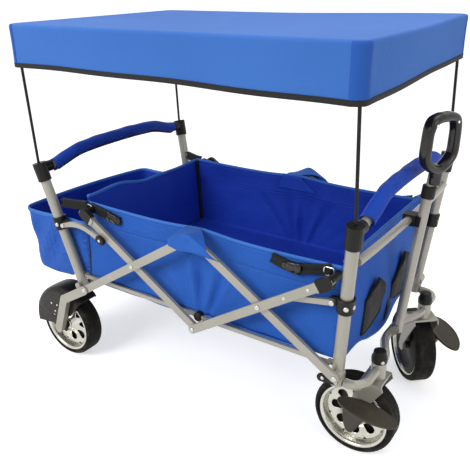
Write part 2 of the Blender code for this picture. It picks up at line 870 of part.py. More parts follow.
def lower_tube():
    foot_x = post_point(front_foot, front_head, lower_tube_height).x + post_radius + 0.0035 + 2 * seat_gap
    foot_y = post_point(front_foot, front_head, lower_tube_height).y
    bend_centre = (swivel_x - lower_tube_bend, foot_y - lower_tube_bend)
    corner = arc_points(bend_centre, lower_tube_bend, math.pi / 2, 0, 4)
    half = [(foot_x, foot_y)] + corner
    for index in range(6):
        share = 1 - index / 5
        setback = (swivel_x - lower_tube_middle_x) * (1 - share * share * (3 - 2 * share))
        half.append((swivel_x - setback, 0.022 + share * (lower_tube_middle_reach - 0.022)))
    left = [Vector((x, y, lower_tube_height)) for x, y in half]
    right = [Vector((x, -y, lower_tube_height)) for x, y in reversed(half)]
    made = baked(tube(left + right, lower_tube_radius, 2))
    additions = []
    bores = []
    for side in (1, -1):
        y = side * swivel_y
        additions.append(cylinder((swivel_x, y, head_tube_bottom), (swivel_x, y, head_tube_top), head_tube_radius, 16))
        additions.append(baked(head_cap(side)))
        bores.append(cylinder((swivel_x, y, head_tube_bottom - 0.01), (swivel_x, y, head_tube_top - 0.003), stem_radius + seat_gap))
        ear_y = side * (pole_outer_radius + joint_gap + pole_ear / 2)
        reach = math.dist((pole_pivot.x, pole_pivot.z), (lower_tube_middle_x, lower_tube_height))
        ear = plate([stadium(reach, 0.009)], pole_ear)
        direction = (lower_tube_middle_x - pole_pivot.x, lower_tube_height - pole_pivot.z)
        additions.append(baked(upright(ear, (pole_pivot.x, pole_pivot.z), direction, ear_y)))
    reach = pole_outer_radius + joint_gap + pole_ear + 0.0015
    pin = cylinder((pole_pivot.x, -reach, pole_pivot.z), (pole_pivot.x, reach, pole_pivot.z), 0.003, 12)
    made = cut(joined(made, additions + [pin]), bores)
    finish(made, "front_lower_tube", grey_paint, front)


def head_cap(side):
    low = head_tube_top - 0.001
    profile = [
        (0.0, head_cap_height),
        (0.0090, head_cap_height),
        (0.0105, head_cap_height - 0.002),
        (0.0105, 0.006),
        (0.0150, 0.004),
        (0.0150, 0.0),
        (0.0, 0.0),
    ]
    made = turned(profile, 16)
    made.location = (swivel_x, side * swivel_y, low)
    return made


def upper_tube_line():
    joint = post_point(front_foot, front_head, upper_tube_height)
    reach = joint.y - math.sqrt(0.5) * post_radius
    start_x = joint.x + math.sqrt(0.5) * post_radius
    points = []
    for index in range(9):
        share = index / 4 - 1
        bow = upper_tube_bow * (1 - share * share)
        points.append(Vector((start_x + bow, share * reach, upper_tube_height)))
    return points


def upper_tube():
    made = baked(tube(upper_tube_line(), upper_tube_radius, 3))
    tools = []
    for side in (1, -1):
        low = post_point(front_foot, front_head, upper_tube_height - 0.05, side)
        high = post_point(front_foot, front_head, upper_tube_height + 0.05, side)
        tools.append(cylinder(low, high, post_radius + seat_gap, 32))
    made = cut(made, tools)
    finish(made, "front_upper_tube", grey_paint, front)


def pole_clip():
    # A half ring that holds the parked pole, on a block that grips the upper tube
    pole_height = (upper_tube_height - pole_pivot.z) / math.cos(pole_lean)
    pole_point = pole_pivot + pole_axis * pole_height
    tube_x = upper_tube_line()[4].x
    inner = pole_outer_radius + joint_gap
    outer = inner + 0.0035
    ring = arc_points((0, 0), inner, math.pi / 2, 3 * math.pi / 2, 8)
    shell = arc_points((0, 0), outer, 3 * math.pi / 2, math.pi / 2, 8)
    half_ring = plate([ring + shell], 0.022)
    pole_frame(half_ring, pole_height)
    grip_x = upper_tube_radius + 0.004
    low = (tube_x - grip_x, -0.013, upper_tube_height - grip_x)
    high = (pole_point.x - inner + 0.001, 0.013, upper_tube_height + grip_x)
    made = joined(baked(half_ring), [block(low, high)])
    bore = baked(tube(upper_tube_line(), upper_tube_radius + seat_gap, 3))
    sweep = cylinder(pole_point - pole_axis * 0.03, pole_point + pole_axis * 0.03, inner)
    made = cut(made, [bore, sweep])
    finish(made, "pole_clip", black_plastic, front)


# Push handles

def handle_line(head, rise, half_length):
    # Level in the boss, then an S bend up to the level middle
    bend_start = head.y - boss_reach - 0.004
    stations = [bend_start - handle_bend * index / 4 for index in range(5)]
    stations = [half_length] + [station for station in stations if station < half_length - 0.003]
    points = []
    for across in stations + [-station for station in reversed(stations)]:
        climb = min(max((bend_start - abs(across)) / handle_bend, 0.0), 1.0)
        points.append(Vector((head.x, across, head.z + rise * climb * climb * (3 - 2 * climb))))
    return points


def push_handle(head, rise, place, carrier):
    reach = head.y - boss_reach + handle_seat
    made = baked(tube(handle_line(head, rise, reach), handle_tube_radius, 3))
    finish(made, place + "_handle_tube", grey_paint, carrier)
    half = head.y - boss_reach - sleeve_end_gap
    sleeve = baked(tube(handle_line(head, rise, half), sleeve_radius, 4))
    bore = baked(tube(handle_line(head, rise, reach), handle_tube_radius + seat_gap, 3))
    sleeve = cut(sleeve, [bore])
    finish(sleeve, place + "_handle_sleeve", blue_sleeve, carrier)


# Pull pole

def pole_frame(item, height):
    item.matrix_world = Matrix.Translation(pole_pivot + pole_axis * height) @ Matrix.Rotation(pole_lean, 4, "Y")
    return item


def pull_pole():
    outer = pole_outer_radius
    inner = outer - pole_wall
    profile = [(inner, pole_outer_length), (outer, pole_outer_length), (outer, -pole_tail), (0.0, -pole_tail)]
    profile = [(0.0, pole_floor), (inner, pole_floor)] + profile
    made = turned(profile, 16)
    pole_frame(made, 0)
    made = baked(made)
    hole = cylinder((pole_pivot.x, -0.02, pole_pivot.z), (pole_pivot.x, 0.02, pole_pivot.z), 0.003 + pin_clearance, 12)
    made = cut(made, [hole])
    finish(made, "pull_pole_outer_tube", grey_paint, pole_body)
    wall = pole_collar_wall
    low = pole_outer_length - pole_collar_length * 0.75
    high = low + pole_collar_length
    slip = pole_inner_radius + seat_gap
    profile = [
        (slip, high),
        (outer + wall - 0.001, high),
        (outer + wall, high - 0.001),
        (outer + wall, low),
        (outer + seat_gap, low),
        (outer + seat_gap, pole_outer_length + seat_gap),
        (slip, pole_outer_length + seat_gap),
        (slip, high),
    ]
    ring = turned(profile, 16)
    pole_frame(ring, 0)
    finish(ring, "pull_pole_collar", black_plastic, pole_body)
    top = high + grip_lift + pole_seat
    bottom = pole_floor + pole_inner_gap
    stage = cylinder(pole_pivot + pole_axis * bottom, pole_pivot + pole_axis * top, pole_inner_radius)
    finish(stage, "pull_pole_inner_tube", grey_paint, pole_slide)
    return high


def pull_grip(base):
    # A closed loop on a round neck: two sides and the bar that the hand holds
    half = grip_width / 2
    edge = 0.005
    corner = 0.016
    top = grip_length
    narrow = grip_neck_radius - edge
    outline = [(-narrow, edge), (narrow, edge), (half - edge, grip_shoulder)]
    outline += arc_points((half - corner, top - corner), corner - edge, 0, math.pi / 2, 3)
    outline += arc_points((-half + corner, top - corner), corner - edge, math.pi / 2, math.pi, 3)
    outline += [(-half + edge, grip_shoulder)]
    hand = half - grip_bar
    ceiling = top - grip_bar
    hole = [(0.0, grip_bar * 1.3), (hand, grip_shoulder + grip_bar * 0.6)]
    hole += arc_points((hand - 0.010, ceiling - 0.010), 0.010, 0, math.pi / 2, 3)
    hole += arc_points((-hand + 0.010, ceiling - 0.010), 0.010, math.pi / 2, math.pi, 3)
    hole += [(-hand, grip_shoulder + grip_bar * 0.6)]
    loop = plate([outline, hole], grip_depth, edge)
    start = base + grip_lift
    neck_base = pole_pivot + pole_axis * start
    neck_top = neck_base + pole_axis * grip_neck_length
    up = Vector((math.sin(pole_lean + grip_lean), 0, math.cos(pole_lean + grip_lean)))
    flat = Vector((math.sin(grip_turn), math.cos(grip_turn), 0))
    across = (flat - up * flat.dot(up)).normalized()
    turn = Matrix((across, up, across.cross(up))).transposed().to_4x4()
    seat = neck_top - up * edge * 2
    loop.matrix_world = Matrix.Translation(seat) @ turn
    made = joined(baked(loop), [cylinder(neck_base, neck_top, grip_neck_radius)])
    bore_end = pole_pivot + pole_axis * (start + pole_seat + 0.002)
    bore = cylinder(neck_base - pole_axis * 0.01, bore_end, pole_inner_radius + seat_gap)
    made = cut(made, [bore])
    finish(made, "pull_grip", black_plastic, pole_slide)


# Rear legs, fenders and pedals

def rear_leg(side):
    # A stamped channel from the bar's pivot over the bend down to the axle
    pivot = Vector((rear_pin[0], 0, rear_pin[1]))
    axle = Vector((rear_wheel_x, 0, wheel_radius))
    half = leg_width / 2
    outer_y = outer_face_y + joint_gap + leg_plate
    path = [(pivot, leg_bend), (leg_bend, axle)]
    solids = []
    for start, end in path:
        length = (end - start).length
        direction = ((end.x - start.x) / length, (end.z - start.z) / length)
        skin = plate([stadium(length, half)], leg_plate)
        solids.append(baked(upright(skin, (start.x, start.z), direction, side * (outer_y - leg_plate / 2))))
    web_start = pivot.lerp(leg_bend, 0.36)
    for start, end in [(web_start, leg_bend), (leg_bend, axle)]:
        length = (end - start).length
        direction = ((end.x - start.x) / length, (end.z - start.z) / length)
        depth = outer_y - leg_inner_y
        core = plate([stadium(length, half - 0.002)], depth - 0.0002)
        solids.append(baked(upright(core, (start.x, start.z), direction, side * (leg_inner_y + depth / 2))))
    post_outer = post_point(rear_foot, rear_head, rear_foot.z + 0.012)
    lug_start = (post_outer.x, side * (post_outer.y + post_radius + 0.0012), post_outer.z)
    lug_end = (post_outer.x, side * (leg_inner_y + 0.004), post_outer.z)
    lug = cylinder(lug_start, lug_end, 0.009, 14)
    pin = rivet(rear_pin, side, outer_y - 0.001, outer_bar_y)
    stub_end = rear_wheel_y - hub_half_length - 0.0015
    stub = cylinder((axle.x, side * (leg_inner_y + 0.002), axle.z), (axle.x, side * stub_end, axle.z), axle_radius, 12)
    shoulder_y = rear_wheel_y + hub_half_length + joint_gap
    spacer = cylinder((axle.x, side * (leg_inner_y + 0.002), axle.z), (axle.x, side * shoulder_y, axle.z), 0.010, 14)
    nut = cylinder((axle.x, side * stub_end, axle.z), (axle.x, side * (stub_end - 0.006), axle.z), 0.0095, 6)
    made = solids[0]
    return joined(made, solids[1:] + [lug, pin, stub, spacer, nut])


def arc_sheet(start, end, cheek_radius, cheek_y, side, steps):
    # The cheek beside the wheel and the band over it, swept about the axle
    low_y = fender_inner_y - rear_wheel_y
    cheek_y = cheek_y - rear_wheel_y
    profile = [
        (cheek_radius, cheek_y),
        (fender_radius - 0.008, cheek_y),
        (fender_radius, cheek_y - 0.007),
        (fender_radius, low_y),
        (fender_radius - 0.005, low_y - 0.002),
    ]
    sweep = end - start
    made = turned(profile, steps, sweep)
    made.modifiers["screw"].use_merge_vertices = False
    centre = Matrix.Translation((rear_wheel_x, side * rear_wheel_y, wheel_radius))
    face = Matrix.Rotation(-side * math.pi / 2, 4, "X")
    first = start if side < 0 else -end
    made.matrix_world = centre @ face @ Matrix.Rotation(first, 4, "Z")
    solid(made, fender_wall, 0.0)
    return made


def fender(side):
    made = baked(arc_sheet(fender_start, fender_end, fender_cheek_radius, fender_cheek_y, side, 12))
    axle = (rear_wheel_x, 0, wheel_radius)
    hole_y = side * fender_cheek_y
    arm = plate([stadium(0.060, 0.013)], fender_wall)
    turn = math.radians(118)
    upright(arm, (axle[0], axle[2]), (math.cos(turn), math.sin(turn)), hole_y)
    made = joined(made, [baked(arm)])
    bore = cylinder((axle[0], hole_y - 0.01, axle[2]), (axle[0], hole_y + 0.01, axle[2]), 0.010 + pin_clearance, 20)
    return cut(made, [bore])


def brake_pedal(side):
    # A foot plate that goes on from the fender's arc, on an arm that swings on the axle
    start = fender_end + pedal_gap
    plane = fender_cheek_y - fender_wall - pedal_plane_gap
    made = baked(arc_sheet(start, start + pedal_sweep, pedal_cheek_radius, plane, side, 5))
    turn = start + pedal_sweep / 2
    arm = plate([stadium(pedal_cheek_radius + 0.012, 0.014)], fender_wall)
    upright(arm, (rear_wheel_x, wheel_radius), (math.cos(turn), math.sin(turn)), side * plane)
    made = joined(made, [baked(arm)])
    bore_start = (rear_wheel_x, side * (plane - 0.01), wheel_radius)
    bore_end = (rear_wheel_x, side * (plane + 0.01), wheel_radius)
    return cut(made, [cylinder(bore_start, bore_end, 0.010 + pin_clearance, 20)])


def build_rear():
    for side, word in side_names.items():
        finish(rear_leg(side), "rear_leg_" + word, grey_paint, wagon)
        pedal_axis = body("rear_pedal_" + word, (rear_wheel_x, side * rear_wheel_y, wheel_radius))
        finish(brake_pedal(side), "rear_brake_pedal_" + word, black_plastic, pedal_axis)
        finish(fender(side), "rear_fender_" + word, black_plastic, wagon)
    centre = post_point(rear_foot, rear_head, rear_tube_height)
    low_point = post_point(rear_foot, rear_head, rear_tube_height - rear_tube_radius)
    reach = low_point.y - post_radius - 2 * seat_gap
    cross = cylinder((centre.x, -reach, rear_tube_height), (centre.x, reach, rear_tube_height), rear_tube_radius)
    finish(cross, "rear_cross_tube", grey_paint, wagon)


# Bed, panels and pouch

def wall_half_width(height):
    share = (height - bed_floor_height) / (bed_rim_height - bed_floor_height)
    return bed_foot_half_width + (bed_rim_half_width - bed_foot_half_width) * share


def bed_section(step):
    # Half of the U section: 0 at the middle of the floor, 1 at the rim
    floor_share = 0.42
    if step < floor_share:
        share = step / floor_share
        return wall_half_width(bed_floor_height) * share, bed_floor_height
    share = (step - floor_share) / (1 - floor_share)
    height = bed_floor_height + (bed_rim_height - bed_floor_height) * share
    return wall_half_width(height), height


def bed_shape(u, v):
    length = bed_front_x - bed_rear_x - 2 * (cloth / 2 + seat_gap)
    x = bed_rear_x + cloth / 2 + seat_gap + length * u
    side = 1 if v >= 0.5 else -1
    half_width, height = bed_section(abs(v - 0.5) * 2)
    climb = max(0.0, (height - bed_floor_height) / (bed_rim_height - bed_floor_height))
    middle = (x - scissor_mid_x) / unit_half_length
    fan = math.cos(middle * 3.6) * math.exp(-middle * middle * 0.35)
    fold = bed_fold_depth * fan * math.sin(math.pi * min(climb * 1.05, 1.0))
    inward = bed_fold_depth * 0.6 * (1 - math.cos(2 * math.pi * u)) * climb * (1 - climb)
    return Vector((x, side * (half_width - abs(fold) - inward), height))


def build_bed():
    made = grid_object("bed_fabric", 14, 16, bed_shape)
    solid(made, cloth, 0.0)
    finish(made, "bed_fabric", blue_cloth, wagon)


def panel_shape(x, top, bottom, wave, foot, head):
    def place(u, v):
        height = bottom + (top - bottom) * v
        half = wall_half_width(min(max(height, bed_floor_height), bed_rim_height)) - cloth / 2
        post_y = post_point(foot, head, height).y
        half = min(half, post_y - post_radius - 0.005)
        spread = (u - 0.5) * 2
        hem = wave * (1 - v) ** 2 * math.cos(spread * 5.2)
        return Vector((x, spread * half, height + hem))
    return place


def build_front_panel():
    place = panel_shape(bed_front_x, front_panel_top, bed_floor_height - front_flap_drop, 0.008, front_foot, front_head)
    sheet = grid_object("front_panel", 12, 6, place)
    made = baked(solid(sheet, cloth, 0.0))
    for side in (1, -1):
        centre = Vector((bed_front_x + cloth / 2, side * pocket_offset, (pocket_bottom + pocket_top) / 2))
        mesh = bpy.data.meshes.new("pocket")
        work = bmesh.new()
        bmesh.ops.create_cube(work, size=1.0)
        size = Vector((2 * pocket_bulge, 2 * pocket_half_width, pocket_top - pocket_bottom))
        bmesh.ops.scale(work, vec=size, verts=work.verts)
        for vertex in work.verts:
            if vertex.co.x > 0:
                vertex.co.y *= 0.82
                vertex.co.z = vertex.co.z * 0.88 - 0.004
        work.to_mesh(mesh)
        work.free()
        pocket = link_object("pocket", mesh)
        pocket.location = centre
        made = joined(made, [pocket])
    finish(made, "front_panel", blue_cloth, front)


def build_rear_panel():
    place = panel_shape(bed_rear_x, bed_rim_height, bed_floor_height, 0.0, rear_foot, rear_head)
    made = grid_object("rear_panel", 8, 5, place)
    solid(made, cloth, 0.0)
    finish(made, "rear_panel", blue_cloth, wagon)


def build_pouch():
    mesh = bpy.data.meshes.new("rear_pouch")
    work = bmesh.new()
    bmesh.ops.create_cube(work, size=1.0)
    top = [face for face in work.faces if face.normal.z > 0.5]
    bmesh.ops.delete(work, geom=top, context="FACES_ONLY")
    subdivide(work, (3, 4, 2))
    front_x = bed_rear_x - cloth / 2 - seat_gap
    for vertex in work.verts:
        climb = vertex.co.z + 0.5
        back = pouch_back_foot_x + (pouch_back_top_x - pouch_back_foot_x) * climb
        half = pouch_half_foot + (pouch_half_rim - pouch_half_foot) * climb
        forward = vertex.co.x + 0.5
        across = vertex.co.y * 2
        sag = 0.004 * (1 - across * across) * (1 - climb) * math.sin(math.pi * forward)
        x = back + (front_x - back) * forward
        vertex.co = Vector((x, across * half, pouch_floor + (pouch_rim - pouch_floor) * climb - sag))
    bmesh.ops.recalc_face_normals(work, faces=work.faces)
    work.to_mesh(mesh)
    work.free()
    bag = link_object("rear_pouch", mesh)
    smooth(bag, 40)
    solid(bag, cloth, -1.0)
    finish(bag, "rear_pouch", blue_cloth, wagon)


# Canopy

def build_canopy():
    mesh = bpy.data.meshes.new("canopy_cover")
    work = bmesh.new()
    bmesh.ops.create_cube(work, size=1.0)
    floor = [face for face in work.faces if face.normal.z < -0.5]
    bmesh.ops.delete(work, geom=floor, context="FACES_ONLY")
    subdivide(work, (9, 5, 2))
    for vertex in work.verts:
        across = vertex.co.x * 2
        along = vertex.co.y * 2
        drop = 0.5 - vertex.co.z
        half_x = canopy_half_x - canopy_inset * (1 - drop)
        half_y = canopy_half_y - canopy_inset * (1 - drop)
        sag = canopy_sag * (1 - across * across) * (1 - along * along) * (1 - drop)
        edge_sag = 0.004 * drop * (math.sin(across * math.pi * 2) ** 2 + math.sin(along * math.pi * 1.5) ** 2)
        height = canopy_top + (canopy_hem - canopy_top) * drop - sag + edge_sag * 0.5
        vertex.co = Vector((across * half_x, along * half_y, height))
    bmesh.ops.recalc_face_normals(work, faces=work.faces)
    work.to_mesh(mesh)
    work.free()
    made = link_object("canopy_cover", mesh)
    smooth(made, 40)
    solid(made, canopy_cloth, -1.0)
    finish(made, "canopy_cover", blue_cloth, canopy_body)


build_posts()
build_bars()
build_links_and_rails()
build_wheels()
build_casters()
lower_tube()
upper_tube()
pole_clip()
push_handle(front_head, front_handle_rise, "front", front)
push_handle(rear_head, rear_handle_rise, "rear", wagon)
pull_grip(pull_pole())
build_rear()
build_bed()
build_front_panel()
build_rear_panel()
build_pouch()
build_canopy()
bpy.context.view_layer.update()
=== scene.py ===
import json
import math

import bmesh
import bpy
import numpy as np
from mathutils import Matrix, Vector


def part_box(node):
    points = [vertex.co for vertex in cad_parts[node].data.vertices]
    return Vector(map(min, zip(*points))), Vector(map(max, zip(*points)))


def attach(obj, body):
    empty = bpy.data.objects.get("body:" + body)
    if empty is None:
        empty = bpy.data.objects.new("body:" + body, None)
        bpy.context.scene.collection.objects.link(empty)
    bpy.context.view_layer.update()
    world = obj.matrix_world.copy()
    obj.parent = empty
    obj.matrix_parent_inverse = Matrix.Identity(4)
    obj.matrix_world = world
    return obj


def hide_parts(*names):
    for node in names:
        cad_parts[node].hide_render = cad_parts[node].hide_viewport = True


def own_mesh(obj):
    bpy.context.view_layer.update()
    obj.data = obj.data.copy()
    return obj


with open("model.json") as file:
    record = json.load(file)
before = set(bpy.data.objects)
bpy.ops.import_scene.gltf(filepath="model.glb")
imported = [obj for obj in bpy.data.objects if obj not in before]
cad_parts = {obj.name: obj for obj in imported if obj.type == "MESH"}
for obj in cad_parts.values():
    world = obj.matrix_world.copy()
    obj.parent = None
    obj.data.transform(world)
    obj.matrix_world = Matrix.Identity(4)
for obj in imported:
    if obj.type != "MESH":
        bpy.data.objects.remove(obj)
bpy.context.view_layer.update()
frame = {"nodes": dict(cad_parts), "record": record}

# Looks of the folding wagon: camera, studio, finishes, cloth and small fittings

shiftX = -0.0059        # the drawing's x values are moved by this much in the frame
drawn = {
    "hubX": 0.054, "bedRear": -0.306, "bedFront": 0.395,
    "rimZ": 0.478, "floorZ": 0.2775, "rimHalf": 0.2255, "footHalf": 0.2394,
    "bedKeep": 0.3620,      # the front frame comes back by 0.4455 of the bed's 0.701
    "barSlope": 32.7,       # the scissor bars' angle at rest, in degrees
    "casterPlace": (0.455, 0.149), "casterTurn": -48.7,     # the left caster stands turned
    "axleX": -0.422, "axleZ": 0.094, "panelX": 0.3955, "panelBelly": 0.011,
}


# Camera and studio

def makeCamera():
    setup = {
        "place": (0.814 + shiftX, -1.207, 0.999),
        "turn": 0.603, "down": 0.405, "roll": -0.016,
        "lens": 46.62, "shiftX": 0.00383, "shiftY": -0.00064,
    }
    turn, down, roll = setup["turn"], setup["down"], setup["roll"]
    ahead = Vector((-math.sin(turn) * math.cos(down), math.cos(turn) * math.cos(down), -math.sin(down)))
    right = Vector((math.cos(turn), math.sin(turn), 0))
    above = right.cross(ahead)
    rightRolled = math.cos(roll) * right + math.sin(roll) * above
    aboveRolled = -math.sin(roll) * right + math.cos(roll) * above
    data = bpy.data.cameras.new("camera")
    data.lens = setup["lens"]
    data.sensor_width = 36
    data.shift_x = setup["shiftX"]
    data.shift_y = setup["shiftY"]
    data.clip_end = 60
    item = bpy.data.objects.new("camera", data)
    columns = Matrix((rightRolled, aboveRolled, -ahead)).transposed().to_4x4()
    item.matrix_world = Matrix.Translation(setup["place"]) @ columns
    bpy.context.scene.collection.objects.link(item)
    bpy.context.scene.camera = item


def makeLamp(name, place, aim, size, power):
    data = bpy.data.lights.new(name, "AREA")
    data.shape = "DISK"
    data.size = size
    data.energy = power
    item = bpy.data.objects.new(name, data)
    direction = Vector(aim) - Vector(place)
    item.rotation_mode = "QUATERNION"
    item.rotation_quaternion = direction.to_track_quat("-Z", "Y")
    item.location = place
    bpy.context.scene.collection.objects.link(item)


def makeStudio():
    scene = bpy.context.scene
    scene.view_settings.view_transform = "Standard"
    world = bpy.data.worlds.new("studio")
    world.use_nodes = True
    scene.world = world
    nodes, links = world.node_tree.nodes, world.node_tree.links
    nodes.clear()
    out = nodes.new("ShaderNodeOutputWorld")
    sky = nodes.new("ShaderNodeBackground")
    sky.inputs["Color"].default_value = (1.0, 1.0, 1.0, 1.0)
    path = nodes.new("ShaderNodeLightPath")
    seen = seenOrShining(nodes, links, path)
    links.new(addMath(nodes, links, "MULTIPLY_ADD", seen, 0.38, 0.62), sky.inputs["Strength"])
    links.new(sky.outputs[0], out.inputs[0])
    makeLamp("keyLamp", (-0.9, -2.7, 2.2), (0.0, 0.0, 0.40), 1.6, 60)
    makeLamp("topLamp", (0.3, 0.4, 3.0), (0.0, 0.0, 0.5), 2.0, 17)
    makeLamp("frontLamp", (2.6, -0.6, 1.6), (0.1, 0.0, 0.5), 1.4, 14)
    floor = meshFromArrays("studioFloor", np.array([[-30, -30, 0], [30, -30, 0], [30, 30, 0], [-30, 30, 0]], float),
                           [(0, 1, 2, 3)])
    material = bpy.data.materials.new("floorPaper")
    material.use_nodes = True
    nodes, links = material.node_tree.nodes, material.node_tree.links
    shader = nodes["Principled BSDF"]
    shader.inputs["Roughness"].default_value = 0.9
    shader.inputs["Specular IOR Level"].default_value = 0.1
    path = nodes.new("ShaderNodeLightPath")
    seen = seenOrShining(nodes, links, path)
    tone = mixColour(nodes, links, seen, (0.50, 0.50, 0.50), (0.85, 0.85, 0.85))
    links.new(tone, shader.inputs["Base Color"])
    glow = mixColour(nodes, links, seen, (0.0, 0.0, 0.0), (0.52, 0.52, 0.52))
    links.new(glow, shader.inputs["Emission Color"])
    shader.inputs["Emission Strength"].default_value = 1.0
    floor.data.materials.append(material)


# Node helpers

def addMath(nodes, links, operation, first, second=None, third=None):
    node = nodes.new("ShaderNodeMath")
    node.operation = operation
    for index, value in enumerate((first, second, third)):
        if value is None:
            continue
        if isinstance(value, (int, float)):
            node.inputs[index].default_value = value
        else:
            links.new(value, node.inputs[index])
    return node.outputs[0]


def seenOrShining(nodes, links, path):
    # 1 for a ray from the camera, one off a glossy face or one through a clear face, else 0
    seen = addMath(nodes, links, "MAXIMUM", path.outputs["Is Camera Ray"], path.outputs["Is Glossy Ray"])
    return addMath(nodes, links, "MAXIMUM", seen, path.outputs["Is Transmission Ray"])


def mixColour(nodes, links, share, first, second, blend="MIX"):
    node = nodes.new("ShaderNodeMix")
    node.data_type = "RGBA"
    node.blend_type = blend
    if isinstance(share, (int, float)):
        node.inputs[0].default_value = share
    else:
        links.new(share, node.inputs[0])
    for index, value in ((6, first), (7, second)):
        if isinstance(value, tuple):
            node.inputs[index].default_value = (*value[:3], 1.0)
        else:
            links.new(value, node.inputs[index])
    return node.outputs[2]


def rampBetween(nodes, links, value, low, high, fromValue=0.0, toValue=1.0):
    node = nodes.new("ShaderNodeMapRange")
    node.interpolation_type = "SMOOTHSTEP"
    for key, number in (("From Min", low), ("From Max", high), ("To Min", fromValue), ("To Max", toValue)):
        node.inputs[key].default_value = number
    links.new(value, node.inputs["Value"])
    return node.outputs["Result"]


def noiseNode(nodes, links, vector, scale, detail=4.0, rough=0.55):
    node = nodes.new("ShaderNodeTexNoise")
    node.inputs["Scale"].default_value = scale
    node.inputs["Detail"].default_value = detail
    node.inputs["Roughness"].default_value = rough
    links.new(vector, node.inputs["Vector"])
    return node.outputs["Fac"]


def newGroup(name, inputs, outputs):
    group = bpy.data.node_groups.new(name, "ShaderNodeTree")
    for label, kind, value in inputs:
        socket = group.interface.new_socket(name=label, in_out="INPUT", socket_type="NodeSocket" + kind)
        if value is not None:
            socket.default_value = value
    for label, kind in outputs:
        group.interface.new_socket(name=label, in_out="OUTPUT", socket_type="NodeSocket" + kind)
    return group, group.nodes.new("NodeGroupInput"), group.nodes.new("NodeGroupOutput")


def placeGroup(material, group, values, vector=None):
    nodes, links = material.node_tree.nodes, material.node_tree.links
    node = nodes.new("ShaderNodeGroup")
    node.node_tree = group
    for label, value in values.items():
        node.inputs[label].default_value = value
    if vector is not None:
        links.new(vector, node.inputs["Place"])
    return node


# Shared surface effects

def makeWeave():
    # Plain weave: height is the product of one sine across and one along, threads thinned by a slow noise
    group, entry, out = newGroup("clothWeave",
                                 [("Place", "Vector", None), ("Pitch", "Float", 0.0009), ("Slub", "Float", 0.35)],
                                 [("Height", "Float"), ("Tone", "Float")])
    nodes, links = group.nodes, group.links
    split = nodes.new("ShaderNodeSeparateXYZ")
    links.new(entry.outputs["Place"], split.inputs[0])
    turns = addMath(nodes, links, "DIVIDE", math.tau, entry.outputs["Pitch"])
    across = addMath(nodes, links, "SINE", addMath(nodes, links, "MULTIPLY", split.outputs[0], turns))
    along = addMath(nodes, links, "SINE", addMath(nodes, links, "MULTIPLY", split.outputs[1], turns))
    woven = addMath(nodes, links, "MULTIPLY", across, along)
    slow = noiseNode(nodes, links, entry.outputs["Place"], 900.0, 2.0)
    uneven = addMath(nodes, links, "MULTIPLY_ADD", slow, entry.outputs["Slub"], woven)
    links.new(uneven, out.inputs["Height"])
    links.new(addMath(nodes, links, "MULTIPLY_ADD", uneven, 0.25, 0.5), out.inputs["Tone"])
    return group


def makeCrease():
    # Soft creases: a stretched noise folded at its middle gives thin ridges, a wide noise gives the slack; that wide
    # noise is also given out as Tone, which the cloth uses as painted shade in the hollows
    group, entry, out = newGroup("clothCreaseAndShade",
                                 [("Place", "Vector", None), ("Size", "Float", 9.0), ("Sharp", "Float", 0.5)],
                                 [("Height", "Float"), ("Tone", "Float")])
    nodes, links = group.nodes, group.links
    scaled = nodes.new("ShaderNodeVectorMath")
    scaled.operation = "SCALE"
    links.new(entry.outputs["Place"], scaled.inputs[0])
    links.new(entry.outputs["Size"], scaled.inputs["Scale"])
    wide = noiseNode(nodes, links, scaled.outputs[0], 0.6, 2.0)
    fine = noiseNode(nodes, links, scaled.outputs[0], 1.7, 3.0)
    ridge = addMath(nodes, links, "ABSOLUTE", addMath(nodes, links, "SUBTRACT", fine, 0.5))
    ridge = rampBetween(nodes, links, ridge, 0.0, 0.06, 1.0, 0.0)
    ridge = addMath(nodes, links, "MULTIPLY", ridge, entry.outputs["Sharp"])
    links.new(addMath(nodes, links, "ADD", wide, addMath(nodes, links, "MULTIPLY", ridge, 0.18)),
              out.inputs["Height"])
    links.new(wide, out.inputs["Tone"])
    return group


def makeGrain():
    # Moulded or sprayed skin: fine noise for the height, a slow one for tone, rubbed patches from a third
    group, entry, out = newGroup("skinGrain",
                                 [("Place", "Vector", None), ("Fine", "Float", 900.0), ("Slow", "Float", 14.0)],
                                 [("Height", "Float"), ("Tone", "Float"), ("Rub", "Float")])
    nodes, links = group.nodes, group.links
    values = []
    for label, detail in (("Fine", 2.0), ("Slow", 4.0)):
        node = nodes.new("ShaderNodeTexNoise")
        node.inputs["Detail"].default_value = detail
        links.new(entry.outputs["Place"], node.inputs["Vector"])
        links.new(entry.outputs[label], node.inputs["Scale"])
        values.append(node.outputs["Fac"])
    links.new(values[0], out.inputs["Height"])
    links.new(values[1], out.inputs["Tone"])
    patch = noiseNode(nodes, links, entry.outputs["Place"], 60.0, 5.0, 0.65)
    links.new(rampBetween(nodes, links, patch, 0.56, 0.72), out.inputs["Rub"])
    return group


def makeDust():
    # Dust settles low down: one less the height above the floor over the reach, times a noise
    group, entry, out = newGroup("roadDust", [("Place", "Vector", None), ("Reach", "Float", 0.25)],
                                 [("Mask", "Float")])
    nodes, links = group.nodes, group.links
    split = nodes.new("ShaderNodeSeparateXYZ")
    links.new(entry.outputs["Place"], split.inputs[0])
    low = addMath(nodes, links, "DIVIDE", split.outputs[2], entry.outputs["Reach"])
    low = addMath(nodes, links, "SUBTRACT", 1.0, addMath(nodes, links, "MINIMUM", low, 1.0))
    spots = noiseNode(nodes, links, entry.outputs["Place"], 45.0, 5.0, 0.6)
    spots = rampBetween(nodes, links, spots, 0.42, 0.75)
    links.new(addMath(nodes, links, "MULTIPLY", low, spots), out.inputs["Mask"])
    return group


